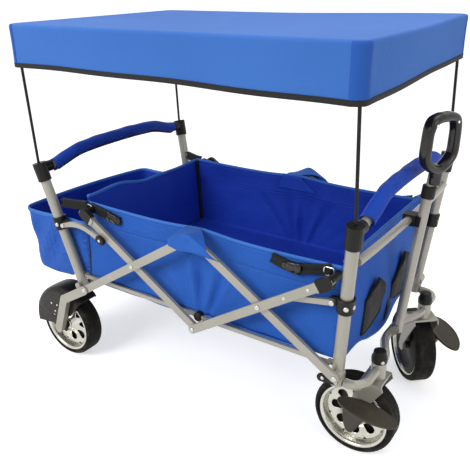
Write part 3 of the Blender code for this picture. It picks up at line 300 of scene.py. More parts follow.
def makeStitch():
    # Lockstitch: dashes along one coordinate within half a thread of a line in the other
    group, entry, out = newGroup("stitchLine",
                                 [("Across", "Float", 0.0), ("Along", "Float", 0.0), ("Length", "Float", 0.004)],
                                 [("Thread", "Float"), ("Pull", "Float")])
    nodes, links = group.nodes, group.links
    away = addMath(nodes, links, "ABSOLUTE", entry.outputs["Across"])
    near = rampBetween(nodes, links, away, 0.0003, 0.0006, 1.0, 0.0)
    turns = addMath(nodes, links, "DIVIDE", entry.outputs["Along"], entry.outputs["Length"])
    dash = addMath(nodes, links, "FRACT", turns)
    dash = addMath(nodes, links, "LESS_THAN", dash, 0.72)
    links.new(addMath(nodes, links, "MULTIPLY", near, dash), out.inputs["Thread"])
    links.new(rampBetween(nodes, links, away, 0.0, 0.0035, 1.0, 0.0), out.inputs["Pull"])
    return group


# Materials

def newMaterial(name, roughness, metallic=0.0, **sockets):
    material = bpy.data.materials.new(name)
    material.use_nodes = True
    shader = material.node_tree.nodes["Principled BSDF"]
    shader.inputs["Roughness"].default_value = roughness
    shader.inputs["Metallic"].default_value = metallic
    for label, value in sockets.items():
        shader.inputs[label.replace("_", " ")].default_value = value
    return material, material.node_tree.nodes, material.node_tree.links, shader


def objectPlace(nodes):
    return nodes.new("ShaderNodeTexCoord").outputs["Object"]


def addBump(nodes, links, shader, height, distance, strength=1.0, after=None):
    bump = nodes.new("ShaderNodeBump")
    bump.inputs["Distance"].default_value = distance
    bump.inputs["Strength"].default_value = strength
    links.new(height, bump.inputs["Height"])
    if after is not None:
        links.new(after, bump.inputs["Normal"])
    links.new(bump.outputs[0], shader.inputs["Normal"])
    return bump.outputs[0]


def makePaint(groups, look):
    # Painted or moulded skin: dark to light by a slow noise, rubbed patches, and dust low down
    material, nodes, links, shader = newMaterial(look["name"], look["rough"], look["metal"],
                                                 Coat_Weight=look["coat"], Coat_Roughness=0.25,
                                               Specular_IOR_Level=look["specular"])
    place = objectPlace(nodes)
    grain = placeGroup(material, groups["grain"], {"Fine": look["fine"], "Slow": look["slow"]}, place)
    dust = placeGroup(material, groups["dust"], {"Reach": look["dustReach"]}, place)
    tone = mixColour(nodes, links, grain.outputs["Tone"], look["dark"], look["light"])
    rub = addMath(nodes, links, "MULTIPLY", grain.outputs["Rub"], look["wear"])
    tone = mixColour(nodes, links, rub, tone, look["worn"])
    soiled = addMath(nodes, links, "MULTIPLY", dust.outputs["Mask"], look["dust"])
    tone = mixColour(nodes, links, soiled, tone, (0.20, 0.18, 0.15))
    links.new(tone, shader.inputs["Base Color"])
    rough = addMath(nodes, links, "MULTIPLY_ADD", grain.outputs["Tone"], look["roughSpread"],
                    look["rough"] - look["roughSpread"] / 2)
    rough = addMath(nodes, links, "ADD", rough, addMath(nodes, links, "MULTIPLY", soiled, 0.4))
    links.new(rough, shader.inputs["Roughness"])
    addBump(nodes, links, shader, grain.outputs["Height"], look["bump"])
    return material


def makeCloth(groups, look):
    # Woven cloth: painted shade from dark in the wide creases' hollows to light on their crowns, times the weave,
    # with stitched and pulled seams and painted shade along them
    material, nodes, links, shader = newMaterial(
        look["name"], look["rough"], 0.0, Sheen_Weight=look["sheen"], Sheen_Roughness=0.45,
        Sheen_Tint=(0.55, 0.70, 1.0, 1.0), Specular_IOR_Level=look["specular"])
    coords = nodes.new("ShaderNodeTexCoord")
    flat = coords.outputs["UV"]
    weave = placeGroup(material, groups["weave"], {"Pitch": look["pitch"], "Slub": 0.4}, flat)
    crease = placeGroup(material, groups["crease"], {"Size": look["creaseSize"], "Sharp": look["creaseSharp"]},
                        coords.outputs["Object"])
    # painted shade: the cloth is darker where the wide crease noise is low, in the hollows of its bump
    shade = mixColour(nodes, links, crease.outputs["Tone"], look["dark"], look["light"])
    threads = mixColour(nodes, links, weave.outputs["Tone"], (0.80, 0.80, 0.80), (1.14, 1.14, 1.14))
    shade = mixColour(nodes, links, 1.0, shade, threads, "MULTIPLY")
    split = nodes.new("ShaderNodeSeparateXYZ")
    links.new(flat, split.inputs[0])
    pulled = None
    for line in look["seams"]:
        # a seam runs where one flat coordinate has this value
        along, across = (split.outputs[index] for index in ((0, 1) if line[0] == "v" else (1, 0)))
        stitch = placeGroup(material, groups["stitch"], {"Length": 0.0042})
        links.new(addMath(nodes, links, "SUBTRACT", across, line[1]), stitch.inputs["Across"])
        links.new(along, stitch.inputs["Along"])
        shade = mixColour(nodes, links, stitch.outputs["Thread"], shade, look["thread"])
        # painted shade: the cloth darkens towards each seam, where its pull dips the surface
        shade = mixColour(nodes, links, addMath(nodes, links, "MULTIPLY", stitch.outputs["Pull"], 0.35), shade,
                          look["dark"])
        pull = stitch.outputs["Pull"]
        pulled = pull if pulled is None else addMath(nodes, links, "MAXIMUM", pulled, pull)
    links.new(shade, shader.inputs["Base Color"])
    links.new(addMath(nodes, links, "MULTIPLY_ADD", weave.outputs["Tone"], 0.12, look["rough"] - 0.06),
              shader.inputs["Roughness"])
    wide = addBump(nodes, links, shader, crease.outputs["Height"], look["creaseDepth"], 0.8)
    if pulled is not None:
        wide = addBump(nodes, links, shader, addMath(nodes, links, "MULTIPLY", pulled, -1.0), 0.0009, 1.0, wide)
    addBump(nodes, links, shader, weave.outputs["Height"], look["weaveDepth"], 0.6, wide)
    return material


def makeMaterials():
    groups = {"weave": makeWeave(), "crease": makeCrease(), "grain": makeGrain(), "dust": makeDust(),
              "stitch": makeStitch()}
    steel = {
        "name": "greyPaintedSteel", "rough": 0.36, "metal": 0.35, "coat": 0.30, "fine": 2600.0, "slow": 9.0,
        "dark": (0.300, 0.285, 0.240), "light": (0.400, 0.380, 0.325), "worn": (0.50, 0.48, 0.43), "wear": 0.25,
        "dust": 0.35, "dustReach": 0.22, "roughSpread": 0.12, "bump": 0.00004, "specular": 0.5,
    }
    black = {
        "name": "blackMouldedPlastic", "rough": 0.44, "metal": 0.0, "coat": 0.0, "fine": 1500.0, "slow": 20.0,
        "dark": (0.0045, 0.0042, 0.0036), "light": (0.010, 0.0092, 0.0078), "worn": (0.030, 0.028, 0.024),
        "wear": 0.3, "dust": 0.12, "dustReach": 0.30, "roughSpread": 0.16, "bump": 0.00008, "specular": 0.22,
    }
    brown = dict(black, name="brownMouldedPlastic", dark=(0.034, 0.028, 0.019), light=(0.056, 0.047, 0.033),
                 worn=(0.10, 0.088, 0.068), rough=0.38)
    fender = dict(black, name="fenderPlastic", dark=(0.0065, 0.0050, 0.0036), light=(0.014, 0.011, 0.008), rough=0.36)
    rubber = dict(black, name="tyreRubber", dark=(0.0050, 0.0045, 0.0036), light=(0.0105, 0.0096, 0.0078),
                  worn=(0.020, 0.018, 0.015), rough=0.66,
                  dust=0.22, dustReach=0.4, bump=0.00012, wear=0.5, specular=0.12)
    silver = dict(steel, name="brightRim", metal=0.92, rough=0.24, coat=0.0, dark=(0.50, 0.49, 0.43),
                  light=(0.64, 0.63, 0.57), worn=(0.44, 0.43, 0.39),
                  dust=0.15, bump=0.00002, roughSpread=0.10)
    rivet = dict(silver, name="rivetSteel", rough=0.30, metal=0.85, dust=0.0, dark=(0.46, 0.45, 0.41),
                 light=(0.58, 0.57, 0.53))
    chrome = dict(silver, name="chromePlate", rough=0.16, dust=0.0, dark=(0.88, 0.88, 0.87), light=(0.95, 0.95, 0.94))
    grip = dict(black, name="glossyGripPlastic", rough=0.19, dark=(0.010, 0.0085, 0.006),
                light=(0.020, 0.0165, 0.012), bump=0.00003, wear=0.15, specular=0.42)
    cloth = {
        "name": "blueCloth", "rough": 0.60, "sheen": 0.05, "specular": 0.14, "pitch": 0.0011, "creaseSize": 9.0,
        "creaseSharp": 0.8, "creaseDepth": 0.0045, "weaveDepth": 0.00012, "dark": (0.014, 0.085, 0.43),
        "light": (0.034, 0.150, 0.58), "thread": (0.10, 0.27, 0.72), "seams": [],
    }
    webbing = {
        "name": "blackWebbing", "rough": 0.70, "sheen": 0.10, "specular": 0.3, "pitch": 0.0022, "creaseSize": 30.0,
        "creaseSharp": 0.2, "creaseDepth": 0.0005, "weaveDepth": 0.0003, "dark": (0.0045, 0.0045, 0.0045),
        "light": (0.010, 0.010, 0.0095), "thread": (0.03, 0.03, 0.03), "seams": [],
    }
    made = {look["name"]: makePaint(groups, look)
            for look in (steel, black, brown, fender, rubber, silver, rivet, chrome, grip)}
    # painted shade: the cloths' inner sides take a darker copy of the blue, for the shade inside bed, pouch, panels
    # and canopy
    lining = {"name": "shadedLiningCloth", "dark": (0.0080, 0.0290, 0.350), "light": (0.0220, 0.0800, 0.570),
              "thread": (0.03, 0.07, 0.42), "sheen": 0.03}
    cloths = [
        {},
        {"name": "canopyCloth", "dark": (0.038, 0.140, 0.48), "light": (0.060, 0.195, 0.60), "creaseDepth": 0.0026,
         "creaseSize": 5.0},
        # painted shade: a darker blue for the canopy's rounded corners
        {"name": "cornerShadeCloth", "dark": (0.018, 0.090, 0.40), "light": (0.030, 0.125, 0.50), "creaseDepth": 0.0020},
        {"name": "bedCloth", "seams": [("v", 0.0550), ("v", 0.0085)]},
        {"name": "patchCloth", "dark": (0.018, 0.100, 0.46), "light": (0.040, 0.170, 0.62),
         "seams": [("v", 0.006), ("v", 0.104), ("u", 0.056), ("u", -0.056)]},
        {"name": "panelCloth", "dark": (0.014, 0.080, 0.42), "light": (0.034, 0.140, 0.56)},
        {"name": "pouchCloth", "dark": (0.016, 0.088, 0.44), "light": (0.040, 0.160, 0.62), "creaseDepth": 0.0100,
         "creaseSharp": 1.3, "creaseSize": 9.0},
        {"name": "hemCloth", "dark": (0.040, 0.155, 0.56), "light": (0.070, 0.225, 0.68), "creaseDepth": 0.0010},
        dict(lining, seams=[("v", 0.0550)]),
        # painted shade: a darker copy of the patch's blue for its inner half
        dict(lining, name="shadedInsideCloth", dark=(0.012, 0.045, 0.42), light=(0.030, 0.105, 0.62)),
        {"name": "sleeveCloth", "dark": (0.008, 0.046, 0.36), "light": (0.016, 0.078, 0.50), "creaseSize": 26.0,
         "creaseDepth": 0.0022},
    ]
    for look in cloths:
        look = dict(cloth, **look)
        made[look["name"]] = makeCloth(groups, look)
    made["blackWebbing"] = makeCloth(groups, webbing)
    made["blackBinding"] = makeCloth(groups,
                                     dict(webbing, name="blackBinding", dark=(0.0060, 0.0052, 0.0040),
                                          light=(0.012, 0.0105, 0.008), pitch=0.0015))
    made["blackMesh"] = makeMesh(groups)
    return made


def makeMesh(groups):
    # Open net: threads where either flat coordinate is near a whole cell, clear between
    material, nodes, links, shader = newMaterial("blackMesh", 0.75)
    flat = nodes.new("ShaderNodeTexCoord").outputs["UV"]
    split = nodes.new("ShaderNodeSeparateXYZ")
    links.new(flat, split.inputs[0])
    masks = []
    for axis in (0, 1):
        cell = addMath(nodes, links, "FRACT", addMath(nodes, links, "DIVIDE", split.outputs[axis], 0.0026))
        away = addMath(nodes, links, "ABSOLUTE", addMath(nodes, links, "SUBTRACT", cell, 0.5))
        masks.append(rampBetween(nodes, links, away, 0.18, 0.26))
    net = addMath(nodes, links, "MAXIMUM", masks[0], masks[1])
    grain = placeGroup(material, groups["grain"], {"Fine": 700.0, "Slow": 30.0}, objectPlace(nodes))
    links.new(mixColour(nodes, links, grain.outputs["Tone"], (0.006, 0.006, 0.008), (0.018, 0.018, 0.022)),
              shader.inputs["Base Color"])
    links.new(rampBetween(nodes, links, net, 0.0, 1.0, 0.45, 1.0), shader.inputs["Alpha"])
    addBump(nodes, links, shader, net, 0.0003)
    return material


# Mesh helpers

def meshFromArrays(name, points, faces, flat=None):
    # points is an n by 3 array, faces a list of index tuples, flat an n by 2 array of flat cloth places in metres
    mesh = bpy.data.meshes.new(name)
    mesh.from_pydata(np.asarray(points, float).tolist(), [], faces)
    mesh.update()
    mesh.polygons.foreach_set("use_smooth", np.ones(len(mesh.polygons), bool))
    if flat is not None:
        layer = mesh.uv_layers.new(name="flat")
        corners = np.empty(len(mesh.loops), np.int32)
        mesh.loops.foreach_get("vertex_index", corners)
        layer.data.foreach_set("uv", np.asarray(flat, float)[corners].ravel())
    item = bpy.data.objects.new(name, mesh)
    bpy.context.scene.collection.objects.link(item)
    return item


def gridFaces(rows, columns, wrapRows=False, wrapColumns=False):
    # Four-sided faces between neighbouring rows and columns of a grid stored row by row
    index = np.arange(rows * columns).reshape(rows, columns)
    if wrapRows:
        index = np.vstack([index, index[:1]])
    if wrapColumns:
        index = np.hstack([index, index[:, :1]])
    quads = np.stack([index[:-1, :-1], index[:-1, 1:], index[1:, 1:], index[1:, :-1]], axis=-1)
    return [tuple(quad) for quad in quads.reshape(-1, 4).tolist()]


def pathRun(path):
    # Length along a path up to each of its points
    return np.concatenate([[0], np.cumsum(np.linalg.norm(np.diff(path, axis=0), axis=1))])


def endFaces(rows, columns):
    # One many-sided face at each end of a grid whose columns close up
    return [tuple(range(columns)), tuple(range(rows * columns - 1, (rows - 1) * columns - 1, -1))]


def flatPlaces(across, along):
    # Flat cloth places of a grid, each coordinate spread over all rows and columns
    return np.stack(np.broadcast_arrays(across, along), axis=-1)


def gridPiece(name, points, flat=None, turned=False, wrapRows=False, wrapColumns=False):
    rows, columns = points.shape[:2]
    faces = gridFaces(rows, columns, wrapRows, wrapColumns)
    if turned:
        faces = [face[::-1] for face in faces]
    return meshFromArrays(name, points.reshape(-1, 3), faces, None if flat is None else flat.reshape(-1, 2))


def addThickness(item, thickness, offset=-1.0, lining=0):
    # lining is the slot of the cloth's inner side
    wall = item.modifiers.new("thickness", "SOLIDIFY")
    wall.thickness = thickness
    wall.offset = offset
    wall.use_even_offset = True
    wall.material_offset = lining


def smoothStep(value):
    # Rises from 0 to 1 as v * v * (3 - 2 v), level at both ends
    value = np.clip(value, 0, 1)
    return value * value * (3 - 2 * value)


def roundProfile(radius, count=20):
    # A circle: radius * (cos a, sin a)
    turn = np.linspace(0, math.tau, count, endpoint=False)
    return np.stack([radius * np.cos(turn), radius * np.sin(turn)], axis=1)


def bandProfile(width, thickness):
    # A flat band with its four corners cut
    w, t = width / 2, thickness / 2
    r = t * 0.8
    return np.array([(-w, -t + r), (-w + r, -t), (w - r, -t), (w, -t + r), (w, t - r), (w - r, t), (-w + r, t),
                     (-w, t - r)])


def dress(item, material, body):
    item.data.materials.clear()
    item.data.materials.append(material)
    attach(item, body)
    return item


# Shape helpers: each gives points, faces and flat places, and fuse() joins them into one piece

def shifted(points):
    # drawing places, moved to the frame's
    return np.asarray(points, float) + np.array([shiftX, 0, 0])


def revolved(profile, centre, axis, steps=28):
    # A profile of (along, radius) turned about an axis: centre + axis * along + radius * (cos a, sin a)
    axis = np.asarray(axis, float) / np.linalg.norm(axis)
    first = np.cross(axis, (0.0, 0.0, 1.0) if abs(axis[2]) < 0.9 else (1.0, 0.0, 0.0))
    first /= np.linalg.norm(first)
    second = np.cross(axis, first)
    profile = np.asarray(profile, float)
    turn = np.linspace(0, math.tau, steps, endpoint=False)
    ring = np.cos(turn)[:, None] * first + np.sin(turn)[:, None] * second
    points = np.asarray(centre, float) + profile[:, None, :1] * axis + profile[:, None, 1:2] * ring[None]
    flat = flatPlaces(turn[None, :] * 0.02, profile[:, :1])
    return points.reshape(-1, 3), gridFaces(len(profile), steps, False, True), flat.reshape(-1, 2)


def swept(path, profile, up, scale=None, closedPath=False):
    # A closed profile (across, up) carried along a path, each row of it scaled by the path's own width and height
    path, profile = np.asarray(path, float), np.asarray(profile, float)
    if closedPath:
        tangents = np.roll(path, -1, axis=0) - np.roll(path, 1, axis=0)
    else:
        tangents = np.gradient(path, axis=0)
    tangents /= np.linalg.norm(tangents, axis=1, keepdims=True)
    side = np.cross(tangents, np.asarray(up, float))
    side /= np.linalg.norm(side, axis=1, keepdims=True)
    top = np.cross(side, tangents)
    spread = np.ones((len(path), 2)) if scale is None else np.asarray(scale, float)
    points = path[:, None] + (profile[None, :, :1] * spread[:, None, :1]) * side[:, None]
    points = points + (profile[None, :, 1:2] * spread[:, None, 1:2]) * top[:, None]
    run = pathRun(path)
    loop = np.vstack([profile, profile[:1]])
    girth = pathRun(loop)[:len(profile)]
    flat = flatPlaces(run[:, None], girth[None, :])
    rows, columns = points.shape[:2]
    faces = gridFaces(rows, columns, closedPath, True)
    if not closedPath:
        faces += endFaces(rows, columns)
    return points.reshape(-1, 3), faces, flat.reshape(-1, 2)


def slab(outline, origin, along, above, thickness, edge=0.0008):
    # A flat plate: the outline drawn on (along, above), drawn in a little at both faces
    outline = np.asarray(outline, float)
    along, above = np.asarray(along, float), np.asarray(above, float)
    out = np.cross(along, above)
    middle = outline.mean(axis=0)
    reach = np.linalg.norm(outline - middle, axis=1, keepdims=True)
    drawnIn = middle + (outline - middle) * (1 - edge / reach)
    half = thickness / 2
    rows = [(drawnIn, -half), (outline, -half + edge), (outline, half - edge), (drawnIn, half)]
    points = np.stack([np.asarray(origin, float) + flat[:, :1] * along + flat[:, 1:2] * above + depth * out
                       for flat, depth in rows])
    count = len(outline)
    faces = gridFaces(4, count, False, True) + endFaces(4, count)
    flat = np.tile(outline, (4, 1))
    return points.reshape(-1, 3), faces, flat


def fuse(name, shapes):
    # Joins several closed shapes into one piece, welds their poles and turns every face outwards
    points, faces, flats, base = [], [], [], 0
    for spots, sides, flat in shapes:
        points.append(spots)
        flats.append(flat)
        faces += [tuple(base + corner for corner in side) for side in sides]
        base += len(spots)
    item = meshFromArrays(name, np.vstack(points), faces, np.vstack(flats))
    weld(item, 0.000002)
    return item


def weld(item, distance):
    # Joins points closer than this and turns the faces outwards
    work = bmesh.new()
    work.from_mesh(item.data)
    bmesh.ops.remove_doubles(work, verts=work.verts, dist=distance)
    bmesh.ops.recalc_face_normals(work, faces=work.faces)
    work.to_mesh(item.data)
    work.free()


def sharpen(item, degrees=35):
    # Keeps the flat faces flat where they meet at more than this angle
    work = bmesh.new()
    work.from_mesh(item.data)
    for line in work.edges:
        line.smooth = len(line.link_faces) < 2 or line.calc_face_angle() < math.radians(degrees)
    work.to_mesh(item.data)
    work.free()
    return item


def stadiumOutline(length, radius, count=10):
    # Two half circles whose centres are length apart
    turn = np.linspace(-math.pi / 2, math.pi / 2, count)
    right = np.stack([length + radius * np.cos(turn), radius * np.sin(turn)], axis=1)
    left = np.stack([-radius * np.cos(turn), -radius * np.sin(turn)], axis=1)
    return np.vstack([right, left])


def ovalProfile(width, height, count=20, square=2.0):
    # A superellipse: |x / w| ** n + |y / h| ** n = 1
    turn = np.linspace(0, math.tau, count, endpoint=False)
    c, s = np.cos(turn), np.sin(turn)
    power = 2.0 / square
    return np.stack([width / 2 * np.sign(c) * np.abs(c) ** power, height / 2 * np.sign(s) * np.abs(s) ** power],
                    axis=1)


def smoothPath(points, count=40):
    # A Catmull-Rom curve through the points, worked out as one array
    points = np.asarray(points, float)
    padded = np.vstack([2 * points[0] - points[1], points, 2 * points[-1] - points[-2]])
    place = np.linspace(0, len(points) - 1, count)
    step = np.minimum(place.astype(int), len(points) - 2)
    t = (place - step)[:, None]
    a, b, c, d = padded[step], padded[step + 1], padded[step + 2], padded[step + 3]
    return 0.5 * (2 * b + (c - a) * t + (2 * a - 5 * b + 4 * c - d) * t ** 2 + (3 * b - a - 3 * c + d) * t ** 3)


def mirrored(points, side):
    # side 1 keeps the left one, -1 gives the right one
    return np.asarray(points, float) * np.array([1.0, side, 1.0])


# Canopy

canopyRuns = {"long": 56, "short": 38, "corner": 10}       # points along each side and round each corner


def roundedRing(halfX, halfY, radius, longCount, shortCount, cornerCount):
    # One turn of a rounded rectangle: four straight runs, each followed by a quarter circle
    corners = [(halfX, -halfY, -90), (halfX, halfY, 0), (-halfX, halfY, 90), (-halfX, -halfY, 180)]
    runs = [longCount, shortCount, longCount, shortCount]
    pieces = []
    previous = (-(halfX - radius), -halfY)
    for (x, y, start), count in zip(corners, runs):
        centre = np.array([x - math.copysign(radius, x), y - math.copysign(radius, y)])
        turn = np.radians(np.linspace(start, start + 90, cornerCount))
        arc = centre + radius * np.stack([np.cos(turn), np.sin(turn)], axis=1)
        share = np.linspace(0, 1, count, endpoint=False)[:, None]
        pieces.append(np.array(previous) + (arc[0] - previous) * share)
        pieces.append(arc[:-1])
        previous = arc[-1]
    return np.vstack(pieces)


def buildCanopy(materials):
    size = {"halfX": 0.439, "halfY": 0.293, "top": 0.9025, "hem": 0.808, "cloth": 0.0012, "sag": 0.006,
            "rim": 0.007, "corner": 0.026, "binding": 0.0105, "creases": 0.0016}

    def valance(drop, ring):
        # The valance hangs a little hollow between the rods, with long shallow waves that grow to the hem
        across, along = ring[:, 0] / size["halfX"], ring[:, 1] / size["halfY"]
        long, short = np.abs(along) > 0.96, np.abs(across) > 0.96
        hollow = (1 - np.minimum(np.abs(across), 1) ** 8) * long + (1 - np.minimum(np.abs(along), 1) ** 8) * short
        wave = np.sin(8.0 * across + 0.7) * long + 0.7 * np.sin(6.0 * along + 1.0) * short
        inward = 0.0022 * math.sin(math.pi * min(drop, 1.0)) * hollow
        inward = inward + size["creases"] * (0.5 + 0.5 * wave) * drop * hollow
        pull = np.stack([-np.sign(ring[:, 0]) * inward * short, -np.sign(ring[:, 1]) * inward * long], axis=1)
        height = size["top"] - (size["top"] - size["hem"]) * drop + 0.0018 * drop * hollow * (0.5 + 0.5 * wave)
        return np.stack([ring[:, 0] + pull[:, 0] + shiftX, ring[:, 1] + pull[:, 1], height], axis=1)

    rows, flats = [], []
    rim = size["rim"]
    for share in np.concatenate([np.linspace(0.0, 0.88, 24), np.linspace(0.90, 1.0, 8)]):
        ring = roundedRing(size["halfX"] - rim, size["halfY"] - rim, size["corner"] - rim,
                           *canopyRuns.values()) * share
        across = ring[:, 0] / (size["halfX"] - rim)
        along = ring[:, 1] / (size["halfY"] - rim)
        edge = (1 - across ** 6) * (1 - along ** 6)
        height = size["top"] - size["sag"] * (1 - across ** 2) * (1 - along ** 2)
        height += 0.0010 * np.sin(5.0 * across + 2.5 * along) * edge
        # drag lines run from the front corners towards the middle
        height -= 0.0016 * np.exp(-((along + 0.98 - 0.16 * (1 - across)) / 0.05) ** 2) * edge
        rows.append(np.stack([ring[:, 0] + shiftX, ring[:, 1], height], axis=1))
        flats.append(ring)
    for turn in np.radians([30, 60]):
        reach = rim - rim * math.sin(turn)
        ring = roundedRing(size["halfX"] - reach, size["halfY"] - reach, size["corner"] - reach, *canopyRuns.values())
        height = np.full(len(ring), size["top"] - rim * (1 - math.cos(turn)))
        rows.append(np.stack([ring[:, 0] + shiftX, ring[:, 1], height], axis=1))
        flats.append(ring)
    fall = size["top"] - size["hem"]
    drops = np.linspace(0.08, 1.0, 18)
    ring = roundedRing(size["halfX"], size["halfY"], size["corner"], *canopyRuns.values())
    for drop in drops:
        rows.append(valance(drop, ring))
        flats.append(ring * (1 + fall * drop / 0.35))
    points, flatGrid = np.stack(rows), np.stack(flats)
    ahead, aside = (points[..., 0] - shiftX) / size["halfX"], points[..., 1] / size["halfY"]
    # the far front corner stands a little higher, and the hem hangs lower towards the near front
    points[..., 2] += 0.0070 * smoothStep((ahead + 0.2) / 1.2) * smoothStep((aside + 0.2) / 1.2)
    low = smoothStep((size["top"] - points[..., 2]) / fall)
    points[..., 2] -= 0.0080 * low * smoothStep((ahead + 0.4) / 1.4) * smoothStep((0.3 - aside) / 1.3)
    # the first row is one point: the pole of the roof
    count = points.shape[1]
    faces = [tuple(corner + 1 for corner in face) for face in gridFaces(len(rows) - 1, count, False, True)]
    faces += [(0, (k + 1) % count + 1, k + 1) for k in range(count)]
    faces = [face[::-1] for face in faces]
    spots = np.vstack([points[0, :1], points[1:].reshape(-1, 3)])
    cover = meshFromArrays("canopyCover", spots, faces, np.vstack([flatGrid[0, :1], flatGrid[1:].reshape(-1, 2)]))
    dress(cover, materials["canopyCloth"], "canopy")
    cover.data.materials.append(materials["shadedLiningCloth"])
    addThickness(cover, size["cloth"], -1.0, 1)
    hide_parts("canopy_cover")
    # black binding folded over the hem: a narrow U, carried round the last row
    hemRing = points[-1]
    ahead = np.roll(hemRing, -1, axis=0) - np.roll(hemRing, 1, axis=0)
    outward = np.cross(ahead, (0, 0, 1.0))
    outward /= np.linalg.norm(outward, axis=1, keepdims=True)
    wide, thick, wall = size["binding"], 0.0012, size["cloth"]
    section = np.array([(thick, wide), (thick, 0.0012), (thick * 0.4, 0.0), (-wall - thick * 0.4, 0.0),
                        (-wall - thick, 0.0012), (-wall - thick, wide), (-wall, wide), (0.0, wide)])
    band = hemRing[:, None] + section[None, :, :1] * outward[:, None] + section[None, :, 1:2] * np.array([0, 0, 1.0])
    band[:, :, 2] -= 0.0012
    run = pathRun(hemRing)
    flat = flatPlaces(run[:, None], np.linspace(0, 0.025, len(section))[None, :])
    hem = gridPiece("canopyHemBinding", band, flat, True, True, True)
    dress(hem, materials["blackBinding"], "canopy")
    # darker strips of cloth stand round the four corners: painted shade for the rounded corners, which turn away from
    # the lamps
    walls = points[-len(drops) - 2:-1]
    out = np.broadcast_to(outward, walls.shape)
    long, short, corners = canopyRuns.values()
    starts = np.cumsum([long, corners - 1 + short, corners - 1 + long, corners - 1 + short])
    shapes = []
    for start in starts:
        span = np.arange(start, start + corners) % count
        outer = walls[:, span] + out[:, span] * 0.0010
        inner = walls[:, span] - out[:, span] * 0.0004
        tall, broad = outer.shape[:2]
        flat = flatPlaces(np.arange(broad)[None, :] * 0.004, np.linspace(0, fall, tall)[:, None])
        grid, total = gridFaces(tall, broad), tall * broad
        rimLoop = list(range(broad)) + [broad * r + broad - 1 for r in range(1, tall)]
        rimLoop += [(tall - 1) * broad + c for c in range(broad - 2, -1, -1)]
        rimLoop += [broad * r for r in range(tall - 2, 0, -1)]
        sides = [(a, b, b + total, a + total) for a, b in zip(rimLoop, rimLoop[1:] + rimLoop[:1])]
        sides += grid + [tuple(corner + total for corner in face[::-1]) for face in grid]
        shapes.append((np.vstack([outer.reshape(-1, 3), inner.reshape(-1, 3)]), sides,
                       np.vstack([flat.reshape(-1, 2)] * 2)))
    strips = fuse("canopyCornerShadeStrips", shapes)
    dress(strips, materials["cornerShadeCloth"], "canopy")
    print("canopy done")


# Bed

def wallHalf(height):
    # The bed's half width, straight from the floor's to the rim's
    share = (height - drawn["floorZ"]) / (drawn["rimZ"] - drawn["floorZ"])
    return drawn["footHalf"] + (drawn["rimHalf"] - drawn["footHalf"]) * share


def wallFolds(x, height):
    # Folds fan up from the low hub: ridges by the angle about it, fading to the rim and to the ends
    dx = x - drawn["hubX"]
    dz = height - (drawn["floorZ"] - 0.06)
    angle = np.arctan2(dx, dz)
    climb = np.clip((height - drawn["floorZ"]) / (drawn["rimZ"] - drawn["floorZ"]), 0, 1)
    fan = np.cos(angle * 17.0 + 0.6) + 0.45 * np.cos(angle * 31.0 + 2.0)
    reach = np.exp(-(angle / 0.55) ** 2)
    return 0.0078 * fan * reach * np.sin(math.pi * np.clip(climb * 1.05 + 0.12, 0, 1)) * (1 - climb ** 3)


def bedSag(x, span, climb):
    # The rim hangs between posts and hub, most in the middle of each half
    half = np.where(x < drawn["hubX"], (x - span[0]) / (drawn["hubX"] - span[0]),
                    (span[1] - x) / (span[1] - drawn["hubX"]))
    return 0.0035 * np.sin(math.pi * np.clip(half, 0, 1)) * climb ** 3


